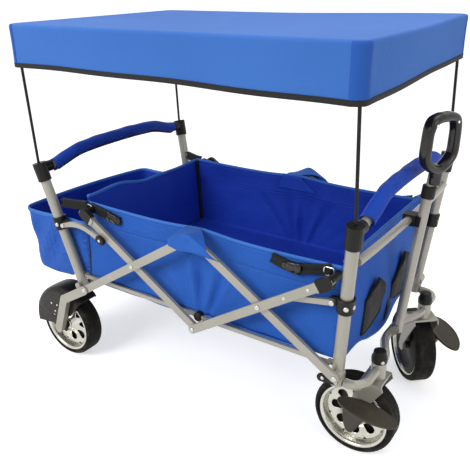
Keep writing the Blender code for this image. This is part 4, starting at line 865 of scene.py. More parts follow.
def buildBed(materials):
    size = {"rear": drawn["bedRear"], "front": drawn["bedFront"], "cloth": 0.0018, "columns": 120, "wallRows": 44,
            "floorRows": 26, "gap": 0.0022, "footBandZ": 0.2688, "footBandWide": 0.0130}
    x = np.linspace(size["rear"] + size["gap"], size["front"] - size["gap"], size["columns"])
    span = (x - size["rear"]) / (size["front"] - size["rear"])
    depth = drawn["rimZ"] - drawn["floorZ"]
    z = np.linspace(drawn["rimZ"], drawn["floorZ"], size["wallRows"])[:, None]
    climb = (z - drawn["floorZ"]) / depth
    # one wall: the trapezium's side, less its belly, the fan of folds and small ripples; a roll at the rim
    belly = 0.0040 * (1 - np.cos(math.tau * span)) * climb * (1 - climb)
    ripple = 0.0009 * np.sin(23.0 * span + 8.0 * climb) * np.sin(math.pi * climb)
    ripple = ripple + 0.0007 * np.sin(51.0 * span - 14.0 * climb) * (1 - climb)
    drag = 0.0016 * np.sin(9.0 * (climb - 0.8) + 14.0 * np.abs(span - 0.51)) * np.exp(-((climb - 0.70) / 0.16) ** 2)
    seamDip = 0.0016 * np.exp(-((climb - (1 - 0.055 / depth)) / 0.012) ** 2)
    rimRoll = 0.0016 * np.exp(-((climb - 0.975) / 0.02) ** 2)
    y = wallHalf(z) - belly - ripple - wallFolds(x[None, :], z) - drag - seamDip + rimRoll
    # the rim rises a little over the hub
    lift = 0.0045 * np.exp(-((x[None, :] - drawn["hubX"]) / 0.065) ** 2) * climb ** 2
    height = z - bedSag(x[None, :], (size["rear"], size["front"]), climb) + lift
    leftWall = np.stack([np.broadcast_to(x + shiftX, y.shape), y, height], axis=-1)
    leftFlat = np.stack([np.broadcast_to(x, y.shape), np.broadcast_to(drawn["rimZ"] - z, y.shape)], axis=-1)
    share = np.linspace(0, 1, size["floorRows"])[1:-1, None]
    foot = y[-1][None, :]
    floorY = foot * (1 - 2 * share)
    dip = 0.0004 * np.sin(math.pi * span)[None, :] * (1 - (1 - 2 * share) ** 2)
    floor = np.stack([np.broadcast_to(x + shiftX, floorY.shape), floorY, drawn["floorZ"] - dip], axis=-1)
    floorFlat = np.stack([np.broadcast_to(x, floorY.shape),
                          np.broadcast_to(depth + 2 * drawn["footHalf"] * share, floorY.shape)], axis=-1)
    points = np.vstack([leftWall, floor, leftWall[::-1] * np.array([1, -1, 1])])
    flat = np.vstack([leftFlat, floorFlat, leftFlat[::-1]])
    bed = gridPiece("bedCloth", points, flat, False)
    dress(bed, materials["bedCloth"], "rear_frame")
    bed.data.materials.append(materials["shadedLiningCloth"])
    addThickness(bed, size["cloth"], -1.0, 1)
    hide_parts("bed_fabric")
    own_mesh(bed)
    # rolled hem along both rims
    for side, word in ((1, "Left"), (-1, "Right")):
        path = np.stack([x + shiftX, side * (y[0] - 0.0009), height[0] - 0.0012], axis=1)
        hem = fuse("bedRimHem" + word, [swept(path, ovalProfile(0.0048, 0.0078, 12), (0, 0, 1))])
        dress(hem, materials["hemCloth"], "rear_frame")
        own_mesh(hem)
        path = np.stack([x + shiftX, side * (y[-1] - 0.0006),
                         np.full_like(x, size["footBandZ"]) + 0.0008 * np.sin(31.0 * span)], axis=1)[2:-10]
        foot = fuse("bedFootHem" + word, [swept(path, bandProfile(0.0018, size["footBandWide"]), (0, 0, 1))])
        dress(foot, materials["hemCloth"], "rear_frame")
        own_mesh(foot)
        buildHubPatch(materials, side, word)
    print("bed done")


def buildHubPatch(materials, side, word):
    size = {"rimHalf": 0.020, "edgeHalf": 0.047, "footHalf": 0.066, "frontExtra": 0.012, "rimMiddle": 0.034,
            "middle": 0.0690, "rows": 30, "columns": 36, "foot": 0.4500, "shoulder": 0.42, "rimY": 0.2262,
            "barY": 0.2826, "rimZ": 0.4840, "hubTop": 0.4905, "hubRound": 0.010, "barFall": 0.60, "pinZ": 0.4800,
            "pinRadius": 0.0065}
    # The patch falls outwards from the rim on to the bars' upper edges, then hangs down outside the bars
    fall = np.linspace(0, 1, size["rows"])[:, None]
    spread = np.linspace(-1, 1, size["columns"])[None, :]
    upper = smoothStep(fall / size["shoulder"])
    lower = np.clip((fall - size["shoulder"]) / (1 - size["shoulder"]), 0, 1)
    half = size["rimHalf"] + (size["edgeHalf"] + size["frontExtra"] * (spread > 0) * spread - size["rimHalf"]) * upper
    half = half + (size["footHalf"] - size["edgeHalf"]) * lower
    drift = np.where(fall < size["shoulder"], upper * size["shoulder"], fall)
    x = size["rimMiddle"] + (size["middle"] - size["rimMiddle"]) * drift + spread * half
    away = np.sqrt((x - drawn["hubX"]) ** 2 + size["hubRound"] ** 2)
    barEdge = size["hubTop"] - size["barFall"] * (away - size["hubRound"])
    y = size["rimY"] + (size["barY"] - size["rimY"]) * upper + 0.0016 * lower
    start = size["rimZ"] - 0.05 * np.abs(x - drawn["hubX"])
    top = start + (barEdge - start) * upper ** 1.5
    z = np.where(fall < size["shoulder"], top, barEdge + (size["foot"] - barEdge) * lower)
    z = z + 0.0016 * np.sin(spread * 5.0 + 1.0) * lower
    y = y + 0.0009 * np.sin(spread * 8.0 + fall * 6.0) * lower - 0.0020 * np.abs(spread) ** 3 * lower
    # a pressed bump where the hub's pin shows through
    bump = np.exp(-((x - drawn["hubX"]) / size["pinRadius"]) ** 2 - ((z - size["pinZ"]) / size["pinRadius"]) ** 2)
    bump = bump * (fall > size["shoulder"])
    points = np.stack([x + shiftX, side * (y + 0.0028 * bump), z], axis=-1)
    flat = np.stack([np.broadcast_to(spread * 0.06, x.shape), np.broadcast_to(fall * 0.11, x.shape)], axis=-1)
    patch = gridPiece("hubPatch" + word, points, flat, side > 0)
    dress(patch, materials["patchCloth"], "rear_frame")
    addThickness(patch, 0.0014, 0.0)
    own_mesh(patch)
    # its inner half lies on the lining, wider towards its foot, in a darker copy of the patch's blue: painted shade
    deep = np.linspace(0, 1, 18)[:, None]
    x = 0.032 + 0.018 * deep + spread * (0.030 + 0.028 * deep)
    z = 0.4800 - 0.0400 * deep
    y = wallHalf(np.minimum(z, drawn["rimZ"])) - wallFolds(x, z) - 0.0062 + 0.0030 * (1 - smoothStep(deep / 0.1))
    inner = gridPiece("hubPatchInside" + word, np.stack([x + shiftX, side * y, z + 0 * x], axis=-1),
                      np.stack([x, np.broadcast_to(z, x.shape)], axis=-1), side < 0)
    dress(inner, materials["shadedInsideCloth"], "rear_frame")
    addThickness(inner, 0.0010, 0.0)
    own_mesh(inner)


# End walls of the bed

def buildFrontPanel(materials):
    size = {"x": drawn["panelX"], "belly": drawn["panelBelly"], "top": 0.492, "cloth": 0.0018,
            "rows": 44, "columns": 64}
    hemAt = np.array([-0.236, -0.189, -0.150, -0.119, -0.065, -0.012, 0.048, 0.110, 0.170, 0.236])
    hemZ = np.array([0.258, 0.254, 0.2575, 0.258, 0.232, 0.2165, 0.2215, 0.245, 0.256, 0.260])
    spread = np.linspace(-1, 1, size["columns"])[None, :]
    rise = np.linspace(0, 1, size["rows"])[:, None]
    # half width follows the posts, the hem's height is read from a smooth curve through its low points
    fine = np.linspace(-0.236, 0.236, 200)
    hemCurve = np.convolve(np.pad(np.interp(fine, hemAt, hemZ), 9, mode="edge"), np.ones(19) / 19, mode="valid")
    wide = 0.2180 + 0.006 * rise
    low = np.interp(spread * 0.218, fine, hemCurve)
    y = spread * wide
    z = low + (size["top"] - low) * rise
    middle = 1 - np.abs(spread) ** 2.5
    x = size["x"] + size["belly"] * np.sin(math.pi * np.clip(rise * 1.05, 0, 1)) ** 1.2 * middle
    x = x + 0.0020 * np.sin(spread * 9.0 + 2.0 * rise) * (1 - rise) * middle
    x = x + 0.0012 * np.sin(15 * spread + 8 * rise) * np.sin(math.pi * rise)
    points = np.stack([x + shiftX, y, z], axis=-1)
    flat = np.stack([y, z], axis=-1)
    panel = gridPiece("frontPanelCloth", points, flat, False)
    dress(panel, materials["panelCloth"], "front_frame")
    panel.data.materials.append(materials["shadedLiningCloth"])
    addThickness(panel, size["cloth"], -1.0, 1)
    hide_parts("front_panel")
    # rolled top hem laced behind the upper tube, and a narrow one along the wavy lower edge
    shapes = [swept(points[-1] + (-0.0009, 0, -0.001), ovalProfile(0.0060, 0.0090, 12), (0, 0, 1)),
              swept(points[0] + (-0.0009, 0, 0.0012), ovalProfile(0.0034, 0.0060, 10), (0, 0, 1))]
    hems = fuse("frontPanelHems", shapes)
    dress(hems, materials["hemCloth"], "front_frame")
    pockets = []
    for side, word in ((1, "Left"), (-1, "Right")):
        pockets += buildPocket(materials, side, word)
    # webbing tab that hangs from the lower edge
    path = smoothPath([(0.4040, 0.020, 0.300), (0.4075, 0.021, 0.275), (0.4040, 0.022, 0.257),
                       (0.4020, 0.0225, 0.243)], 14)
    tab = fuse("frontPanelTab", [swept(shifted(path), bandProfile(0.020, 0.0016), (1, 0, 0))])
    dress(tab, materials["blackWebbing"], "front_frame")
    print("front panel done")


def buildPocket(materials, side, word):
    # Net pocket: it stands off the panel most in the middle and is sewn down on three sides, its mouth slanting
    middle, half = side * 0.078, 0.052
    s = np.linspace(-1, 1, 26)[None, :]
    t = np.linspace(0, 1, 24)[:, None]
    bottom = 0.275 + 0.008 * s ** 2 + 0.010 * s * side * -1
    top = 0.352 + (0.046 * (1 - np.abs(s) ** 1.2)) + 0.012 * s * side
    y = middle + s * half * (0.86 + 0.14 * t)
    z = bottom + (top - bottom) * t
    bulge = np.sin(math.pi * np.clip((z - 0.245) / 0.247, 0, 1)) ** 1.2
    base = drawn["panelX"] + drawn["panelBelly"] * bulge * (1 - np.abs(y / 0.22) ** 2.5)
    stand = 0.0022 + 0.0085 * (1 - s ** 4) * np.clip(t * 1.6, 0, 1) ** 0.7 + 0.0016 * np.sin(9 * s + 4 * t) * t
    points = np.stack([base + stand + shiftX, y, z], axis=-1)
    flat = np.stack([y, np.broadcast_to(z, y.shape)], axis=-1)
    net = gridPiece("pocketNet" + word, points, flat, False)
    dress(net, materials["blackMesh"], "front_frame")
    addThickness(net, 0.0008, 1.0)
    edge = np.vstack([points[::-1, 0], points[0, 1:], points[1:, -1], points[-1, -2::-1]])
    binding = fuse("pocketBinding" + word,
                   [swept(edge[:-1], ovalProfile(0.0030, 0.0072, 10), (1, 0, 0), closedPath=True)])
    dress(binding, materials["blackBinding"], "front_frame")
    return [net, binding]


def buildRearPanel(materials):
    # A wall between the bed's sides, bulging as sin(pi rise) and less towards them; its top steps down to the left
    size = {"x": drawn["bedRear"], "cloth": 0.0018, "rows": 36, "columns": 60}
    spread = np.linspace(-1, 1, size["columns"])[None, :]
    rise = np.linspace(0, 1, size["rows"])[:, None]
    top = 0.4740 + 0.0190 * (1 - smoothStep((spread + 0.52) / 0.56)) + 0.0015 * np.sin(9.0 * spread)
    z = drawn["floorZ"] + (top - drawn["floorZ"]) * rise
    half = wallHalf(np.minimum(z, drawn["rimZ"])) - 0.0020
    y = spread * half
    middle = 1 - spread ** 4
    x = size["x"] + 0.0050 * np.sin(math.pi * rise) * middle + 0.0016 * np.sin(11 * spread + 6 * rise) * middle * rise
    points = np.stack([x + shiftX, y, z], axis=-1)
    flat = np.stack([y, np.broadcast_to(z, y.shape)], axis=-1)
    panel = gridPiece("rearPanelCloth", points, flat, True)
    dress(panel, materials["panelCloth"], "rear_frame")
    panel.data.materials.append(materials["shadedLiningCloth"])
    addThickness(panel, size["cloth"], -1.0, 1)
    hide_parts("rear_panel")
    hem = fuse("rearPanelHem", [swept(points[-1] + (0.0009, 0, -0.001), ovalProfile(0.0056, 0.0090, 12), (0, 0, 1))])
    dress(hem, materials["hemCloth"], "rear_frame")
    # black strips run up each corner where walls and ends meet: painted shade, dark strips standing in for the
    # shadowed gap there
    for place, carrier, cornerX in (("Rear", "rear_frame", -0.3035), ("Front", "front_frame", 0.3945)):
        shapes = []
        for side in (1, -1):
            z = np.linspace(drawn["floorZ"] - 0.001, drawn["rimZ"] - 0.004, 16)
            y = side * (wallHalf(z) - 0.0048
                        - (0.0 if place == "Rear" else 0.0085 * np.clip((z - 0.40) / 0.078, 0, 1)))
            path = np.stack([np.full_like(z, cornerX), y, z], axis=1)
            shapes.append(swept(shifted(path), ovalProfile(0.0175, 0.0080, 12, 3.0), (0, 1, 0)))
        cornerShade = fuse("cornerShadeStrip" + place, shapes)
        dress(cornerShade, materials["blackBinding"], carrier)
    print("rear panel done")


# Rear pouch

def buildPouch(materials):
    size = {"front": -0.3085, "backTop": -0.539, "backFoot": -0.526, "rim": 0.4135, "foot": 0.2480,
            "halfTop": 0.2420, "halfFoot": 0.2330, "corner": 0.022, "cloth": 0.0018}

    def level(share, shrink=1.0):
        # One turn of the bag at this share of its depth: a rounded rectangle from the back's slope to the bed's end
        back = size["backTop"] + (size["backFoot"] - size["backTop"]) * share
        halfX, halfY = (size["front"] - back) / 2, size["halfTop"] + (size["halfFoot"] - size["halfTop"]) * share
        ring = roundedRing(halfX, halfY, size["corner"], 30, 44, 7) * shrink
        return ring, (size["front"] + back) / 2, halfX, halfY

    rows, flats = [], []
    for share in np.linspace(0, 1, 34):
        ring, middle, halfX, halfY = level(share)
        across, along = ring[:, 0] / halfX, ring[:, 1] / halfY
        isBack, isSide = across < -0.9, np.abs(along) > 0.9
        # walls belly out low down and crease towards the corners; the back bulges and its rim lifts in the middle
        belly = math.sin(math.pi * share ** 0.8)
        backOut = (0.007 * belly + 0.010 * (1 - share)) * (1 - along ** 2)
        backOut = backOut + 0.0030 * np.sin(9 * along + 7 * share) * belly
        sideOut = 0.0018 * belly * (1 - across ** 2)
        sideOut = sideOut + 0.0032 * np.sin(8.5 * across + 9.0 * share + 0.8) * belly * (across < 0.5)
        corner = 0.0055 * math.sin(math.tau * share * 1.3 + 0.5) * share * (isBack & isSide)
        x = ring[:, 0] + middle - backOut * isBack - corner
        y = ring[:, 1] + np.sign(ring[:, 1]) * sideOut * isSide
        foot = size["foot"] + 0.020 * smoothStep((x + 0.395) / 0.045)
        foot = foot - 0.003 * (1 - along ** 2) + 0.0022 * np.sin(6 * along + 5 * across)
        rim = size["rim"] - 0.0080 * along + 0.003 * (1 - along ** 2) * isBack
        rim = rim + 0.0030 * np.sin(3.0 * across) * isSide - 0.006 * (across > 0.9) * (1 - along ** 8)
        rows.append(np.stack([x + shiftX, y, rim + (foot - rim) * share], axis=1))
        flats.append(np.stack([pathRun(ring), np.full(len(ring), share * 0.2)], axis=1))
    for shrink in (0.94, 0.80, 0.55, 0.28, 0.0):
        ring = (rows[33] - rows[33].mean(axis=0)) * np.array([shrink, shrink, 1.0]) + rows[33].mean(axis=0)
        ring[:, 2] = rows[33][:, 2] - 0.0015 * (1 - shrink)
        if shrink == 0.0:
            ring[:, 2] = rows[33][:, 2].mean()
        rows.append(ring)
        flats.append(flats[33] + np.array([0, 0.05 * (1 - shrink)]))
    points, flat = np.stack(rows), np.stack(flats)
    count = points.shape[1]
    total = (len(rows) - 1) * count
    faces = gridFaces(len(rows) - 1, count, False, True)
    faces += [(total - count + k, total - count + (k + 1) % count, total) for k in range(count)]
    faces = [face[::-1] for face in faces]
    spots = np.vstack([points[:-1].reshape(-1, 3), points[-1, :1]])
    pouch = meshFromArrays("rearPouch", spots, faces, np.vstack([flat[:-1].reshape(-1, 2), flat[-1, :1]]))
    dress(pouch, materials["pouchCloth"], "rear_frame")
    pouch.data.materials.append(materials["shadedLiningCloth"])
    addThickness(pouch, size["cloth"], -1.0, 1)
    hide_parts("rear_pouch")
    rimPath = points[0] + np.array([0, 0, -0.0015])
    hem = fuse("pouchRimHem", [swept(rimPath, ovalProfile(0.0052, 0.0110, 12), (0, 0, 1), closedPath=True)])
    dress(hem, materials["hemCloth"], "rear_frame")
    print("pouch done")


# Handle sleeves

def buildSleeve(materials, place, head, look, body):
    # A padded wrap bent to one shallow arc; its lower edge is lapped and closed, which leaves a ridge with puckers
    share = np.linspace(-1, 1, 150)
    along = share * (head[1] - look["end"])
    arc = look["rise"] * (1 - np.abs(share) ** 2.6)
    climb = np.clip((head[1] - 0.036 - np.abs(along)) / 0.110, 0, 1)
    tube = look["tubeRise"] * climb * climb * (3 - 2 * climb)
    path = np.stack([np.full_like(along, head[0]), along, head[2] + 0.55 * arc + 0.45 * tube], axis=1)
    tangents = np.gradient(path, axis=0)
    tangents /= np.linalg.norm(tangents, axis=1, keepdims=True)
    turn = np.linspace(0, math.tau, 44, endpoint=False)[None, :]
    run = along[:, None]
    lap = np.exp(-((turn - 1.5 * math.pi) / 0.20) ** 2)
    pucker = 0.0008 * np.sin(run * 190 + 2.0 * np.sin(run * 47)) * np.exp(-((turn - 1.5 * math.pi) / 0.6) ** 2)
    waves = 0.0005 * np.sin(run * 58 + 3 * turn) + 0.0004 * np.sin(run * 101 - 2 * turn + 1.0)
    flare = 1 + 0.05 * np.exp(-((np.abs(share[:, None]) - 1.0) / 0.05) ** 2)
    radiusX = (look["wide"] / 2 + waves + pucker) * flare
    radiusZ = (look["high"] / 2 + waves + pucker + 0.0036 * lap) * flare
    side = np.array([1.0, 0, 0])
    top = np.cross(tangents, side)
    top *= np.sign(top[:, 2:3])
    points = path[:, None] + (radiusX * np.cos(turn))[:, :, None] * side
    points = points + (radiusZ * np.sin(turn))[:, :, None] * top[:, None]
    # the ends turn in to the tube, so that the pad shows its thickness and stays one closed skin
    rings = [points]
    for reach, inset in ((0.87, 0.0012), (0.80, 0.006), (0.78, 0.014)):
        rings.append(path[None, -1] + (points[-1:] - path[-1]) * reach - tangents[-1] * inset)
        rings.insert(0, path[None, 0] + (points[:1] - path[0]) * reach + tangents[0] * inset)
    grid = np.vstack(rings)
    flat = flatPlaces(np.linspace(0, 2 * along[-1] + 0.03, len(grid))[:, None], turn * 0.0145)
    rows, columns = grid.shape[:2]
    faces = gridFaces(rows, columns, False, True)
    faces += endFaces(rows, columns)
    sleeve = fuse(place + "Sleeve", [(shifted(grid.reshape(-1, 3)), faces, flat.reshape(-1, 2))])
    dress(sleeve, materials["sleeveCloth"], body)
    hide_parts(place + "_handle_sleeve")
    # black hook-and-loop edge that shows along the lower side
    edge = path[4:-4] + np.array([0.0028, 0, 0]) - np.array([0, 0, 1.0]) * (look["high"] / 2 + 0.0030)
    strip = fuse(place + "SleeveTape", [swept(shifted(edge), bandProfile(0.0022, 0.0052), (0, 0, 1))])
    dress(strip, materials["blackWebbing"], body)
    print(place + " sleeve done")


# Posts, brackets, rivets

def postPoint(foot, head, height):
    # The point of a post, foot + (head - foot) * share, at this height
    share = (height - foot[2]) / (head[2] - foot[2])
    return np.array(foot) + (np.array(head) - np.array(foot)) * share


posts = {
    "front": {"foot": (0.399, 0.236, 0.223), "head": (0.432, 0.275, 0.578), "body": "front_frame"},
    "rear": {"foot": (-0.331, 0.245, 0.236), "head": (-0.405, 0.275, 0.562), "body": "rear_frame"},
}
pins = {
    "bars_a": [(-0.122, 0.3630, 0.2782), (drawn["hubX"], 0.4760, 0.2782)],
    "bars_d": [(drawn["hubX"], 0.2500, 0.2782), (0.230, 0.3630, 0.2782)],
    "rear_frame": [(-0.298, 0.2500, 0.2808), (-0.350, 0.4200, 0.2788)],
    "front_frame": [(0.406, 0.2500, 0.2697), (0.392, 0.4200, 0.2701)],
}


def rivetShape(x, face, z, side, radius, height):
    # A domed head: quarter-circle profile on a short rim
    turn = np.linspace(0, math.pi / 2, 6)
    dome = [(height * math.sin(a), radius * math.cos(a)) for a in turn]
    profile = [(-0.0012, 0.0), (-0.0012, radius)] + dome
    return revolved(profile, (x + shiftX, side * face, z), (0, side, 0), 20)


def buildRivets(materials):
    for carrier, spots in pins.items():
        shapes = [rivetShape(x, face - 0.0004, z, side, 0.0060, 0.0021) for x, z, face in spots for side in (1, -1)]
        if carrier == "bars_d":
            slope = math.tan(math.radians(drawn["barSlope"]))
            shapes += [rivetShape(x, 0.2767, 0.25 + (x - drawn["hubX"]) * slope, side, 0.0042, 0.0016)
                       for x in (0.292, 0.345) for side in (1, -1)]
        rivets = fuse("rivets_" + carrier, shapes)
        dress(rivets, materials["rivetSteel"], carrier)


def buildClamps(materials):
    # A black clamp round each post, with a lip at both ends and a bolt; the ear wraps the link's pivot
    boltHead = [(-0.002, 0.0), (-0.002, 0.0050), (0.0006, 0.0050), (0.0016, 0.0038), (0.0018, 0.0)]
    for place, post in posts.items():
        foot, head = np.array(post["foot"]), np.array(post["head"])
        axis = (head - foot) / np.linalg.norm(head - foot)
        bolts, shapes = [], []
        for side in (1, -1):
            centre = shifted(mirrored(postPoint(foot, head, 0.420), side))
            line = mirrored(axis, side)
            profile = [(-0.0165, 0.0132), (-0.0165, 0.0168), (-0.0150, 0.0180), (-0.0120, 0.0174), (0.0120, 0.0174),
                       (0.0150, 0.0180), (0.0165, 0.0168), (0.0165, 0.0132), (-0.0165, 0.0132)]
            shapes.append(revolved(profile, centre, line, 32))
            if place == "front":
                length, origin = 0.020, (0.392 + shiftX - 0.001, side * 0.2553, 0.420)
                spot = centre + np.array([0.0075, 0.0, -0.002]) + np.array([0.0, side * 0.0165, 0.0])
                bolts.append(revolved(boltHead, spot, (0.3, side, 0), 16))
                bolts.append(revolved(boltHead, centre + np.array([0.0165, 0.0, -0.002]), (1, 0, 0), 16))
            else:
                length, origin = 0.022, (-0.372 + shiftX, side * 0.2640, 0.420)
                spot = centre + np.array([0.004, side * 0.0170, -0.001])
                bolts.append(revolved(boltHead, spot, (0.2, side, 0), 16))
            shapes.append(slab(stadiumOutline(length, 0.0098), origin, (1, 0, 0), (0, 0, 1), 0.0092))
        clamps = sharpen(fuse(place + "PostClamps", shapes))
        dress(clamps, materials["blackMouldedPlastic"], post["body"])
        heads = sharpen(fuse(place + "ClampBolts", bolts))
        dress(heads, materials["rivetSteel"], post["body"])


def buildBrackets(materials):
    # Black end fittings over the upper tips of the bars, with an arm in to the bed's rim and a chrome D ring
    angle = math.radians(drawn["barSlope"])
    for place, carrier, tip, direction, faceY, ringX in (
            ("Rear", "bars_b", (-0.27852, 0.46348), (-math.cos(angle), math.sin(angle)), 0.260, -0.293),
            ("Front", "bars_d", (0.38652, 0.46348), (math.cos(angle), math.sin(angle)), 0.2687, 0.368)):
        shapes, rings = [], []
        for side in (1, -1):
            along = np.array([direction[0], 0, direction[1]])
            above = np.array([-direction[1], 0, direction[0]]) * (1 if direction[0] > 0 else -1)
            origin = np.array([tip[0] + shiftX, side * (faceY + 0.004), tip[1]])
            # wide where it wraps the bar, narrower and rounded at the tip, with a notch on its lower edge
            outline = np.array([(-0.0265, -0.0125), (-0.0245, -0.0142), (-0.0060, -0.0142), (0.0030, -0.0128),
                                (0.0095, -0.0085), (0.0118, -0.0020), (0.0118, 0.0045), (0.0085, 0.0105),
                                (0.0015, 0.0138), (-0.0100, 0.0142), (-0.0245, 0.0142), (-0.0265, 0.0125)])
            shapes.append(slab(outline, origin, along, above, 0.0136, 0.0014))
            inner = (tip[0] + shiftX, side * 0.2265, tip[1])
            reach = faceY - 0.2265
            profile = [(0.0, 0.0), (0.0, 0.0075), (0.0015, 0.0088), (reach - 0.003, 0.0092), (reach, 0.0115),
                       (reach + 0.002, 0.0)]
            shapes.append(revolved(profile, inner, (0, side, 0), 24))
            turn = np.linspace(0, math.tau, 36, endpoint=False)
            ring = np.stack([ringX + 0.0105 * np.cos(turn), np.full_like(turn, 0.2345),
                             tip[1] + 0.004 + 0.0095 * np.clip(np.sin(turn) * 1.35, -1, 0.80)], axis=1)
            rings.append(swept(shifted(mirrored(ring, side)), roundProfile(0.0014, 10), (0, 1, 0), closedPath=True))
        bracket = sharpen(fuse("barEndBrackets" + place, shapes))
        dress(bracket, materials["blackMouldedPlastic"], carrier)
        loops = fuse("strapRings" + place, rings)
        dress(loops, materials["chromePlate"], carrier)
    # black webbing from each rear post to the bed's rear corner
    webs = []
    for side in (1, -1):
        path = smoothPath([(-0.3655, 0.2560, 0.4740), (-0.3450, 0.2500, 0.4725), (-0.3200, 0.2420, 0.4715),
                           (-0.2960, 0.2360, 0.4725)], 20)
        webs.append(swept(shifted(mirrored(path, side)), bandProfile(0.0018, 0.0200), (0, 0, 1)))
    dress(fuse("rearPostStraps", webs), materials["blackWebbing"], "rear_frame")


def buildLinkEnds(materials):
    # The curved rear link ends in a black block with a bright screw
    shapes, screws = [], []
    for side in (1, -1):
        centre = (-0.2215 + shiftX, side * 0.2725, 0.4080)
        outline = ovalProfile(0.026, 0.0185, 24, 3.2)
        shapes.append(slab(outline, centre, (0.88, 0, -0.475), (0.475, 0, 0.88), 0.0122, 0.0014))
        screws.append(rivetShape(-0.2215, 0.2783, 0.4080, side, 0.0040, 0.0016))
    blocks = sharpen(fuse("rearLinkEnds", shapes))
    dress(blocks, materials["blackMouldedPlastic"], "rear_links")
    dress(fuse("rearLinkScrews", screws), materials["rivetSteel"], "rear_links")
    knobs = []
    for side in (1, -1):
        profile = [(-0.0085, 0.0), (-0.0085, 0.0095), (-0.0065, 0.0115), (0.0050, 0.0115), (0.0085, 0.0080),
                   (0.0085, 0.0)]
        knobs.append(revolved(profile, (drawn["hubX"] + shiftX, side * 0.2490, 0.2720), (0, side, 0), 24))
    dress(sharpen(fuse("railJoints", knobs)), materials["blackMouldedPlastic"], "rear_rails")


def buildStraps(materials):
    # Black webbing on the band below the rim: from the D ring to a side-release buckle, its tail tucked into a slot
    lines = {
        "Rear": [(-0.288, 0.4700), (-0.262, 0.4660), (-0.236, 0.4600), (-0.212, 0.4545), (-0.190, 0.4500)],
        "Front": [(0.371, 0.4720), (0.345, 0.4650), (0.318, 0.4590), (0.290, 0.4545), (0.262, 0.4580),
                  (0.238, 0.4640)],
    }
    # body, release clips and tail bar of a buckle: length, height, points, shift along the strap, thickness, edge
    buckleParts = [(0.034, 0.0235, 28, 0.0, 0.0080, 0.0016), (0.015, 0.0262, 20, -0.012, 0.0092, 0.0014),
                   (0.012, 0.0150, 20, 0.020, 0.0066, 0.0012)]
    for place, line in lines.items():
        webs, buckles = [], []
        for side in (1, -1):
            spots = np.array(line)
            out = wallHalf(spots[:, 1]) + np.linspace(0.0066, 0.0050, len(line))
            path = smoothPath(np.stack([spots[:, 0], out, spots[:, 1]], axis=1), 30)
            webs.append(swept(shifted(mirrored(path, side)), bandProfile(0.0018, 0.0190), (0, 0, 1)))
            spot = spots[3]
            slope = np.array([spots[4, 0] - spots[2, 0], 0, spots[4, 1] - spots[2, 1]])
            slope /= np.linalg.norm(slope)
            upward = np.cross(slope, (0, -1.0, 0))
            centre = np.array([spot[0] + shiftX, side * (wallHalf(spot[1]) + 0.0082), spot[1]])
            for long, tall, count, shift, thick, edge in buckleParts:
                outline = ovalProfile(long, tall, count, 3.4)
                buckles.append(slab(outline, centre + slope * shift, slope, upward, thick, edge))
        web = fuse("rimStraps" + place, webs)
        dress(web, materials["blackWebbing"], "rear_frame")
        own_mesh(web)
        buckle = sharpen(fuse("strapBuckles" + place, buckles), 50)
        dress(buckle, materials["glossyGripPlastic"], "rear_frame")
        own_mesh(buckle)
    print("straps done")


# Wheels

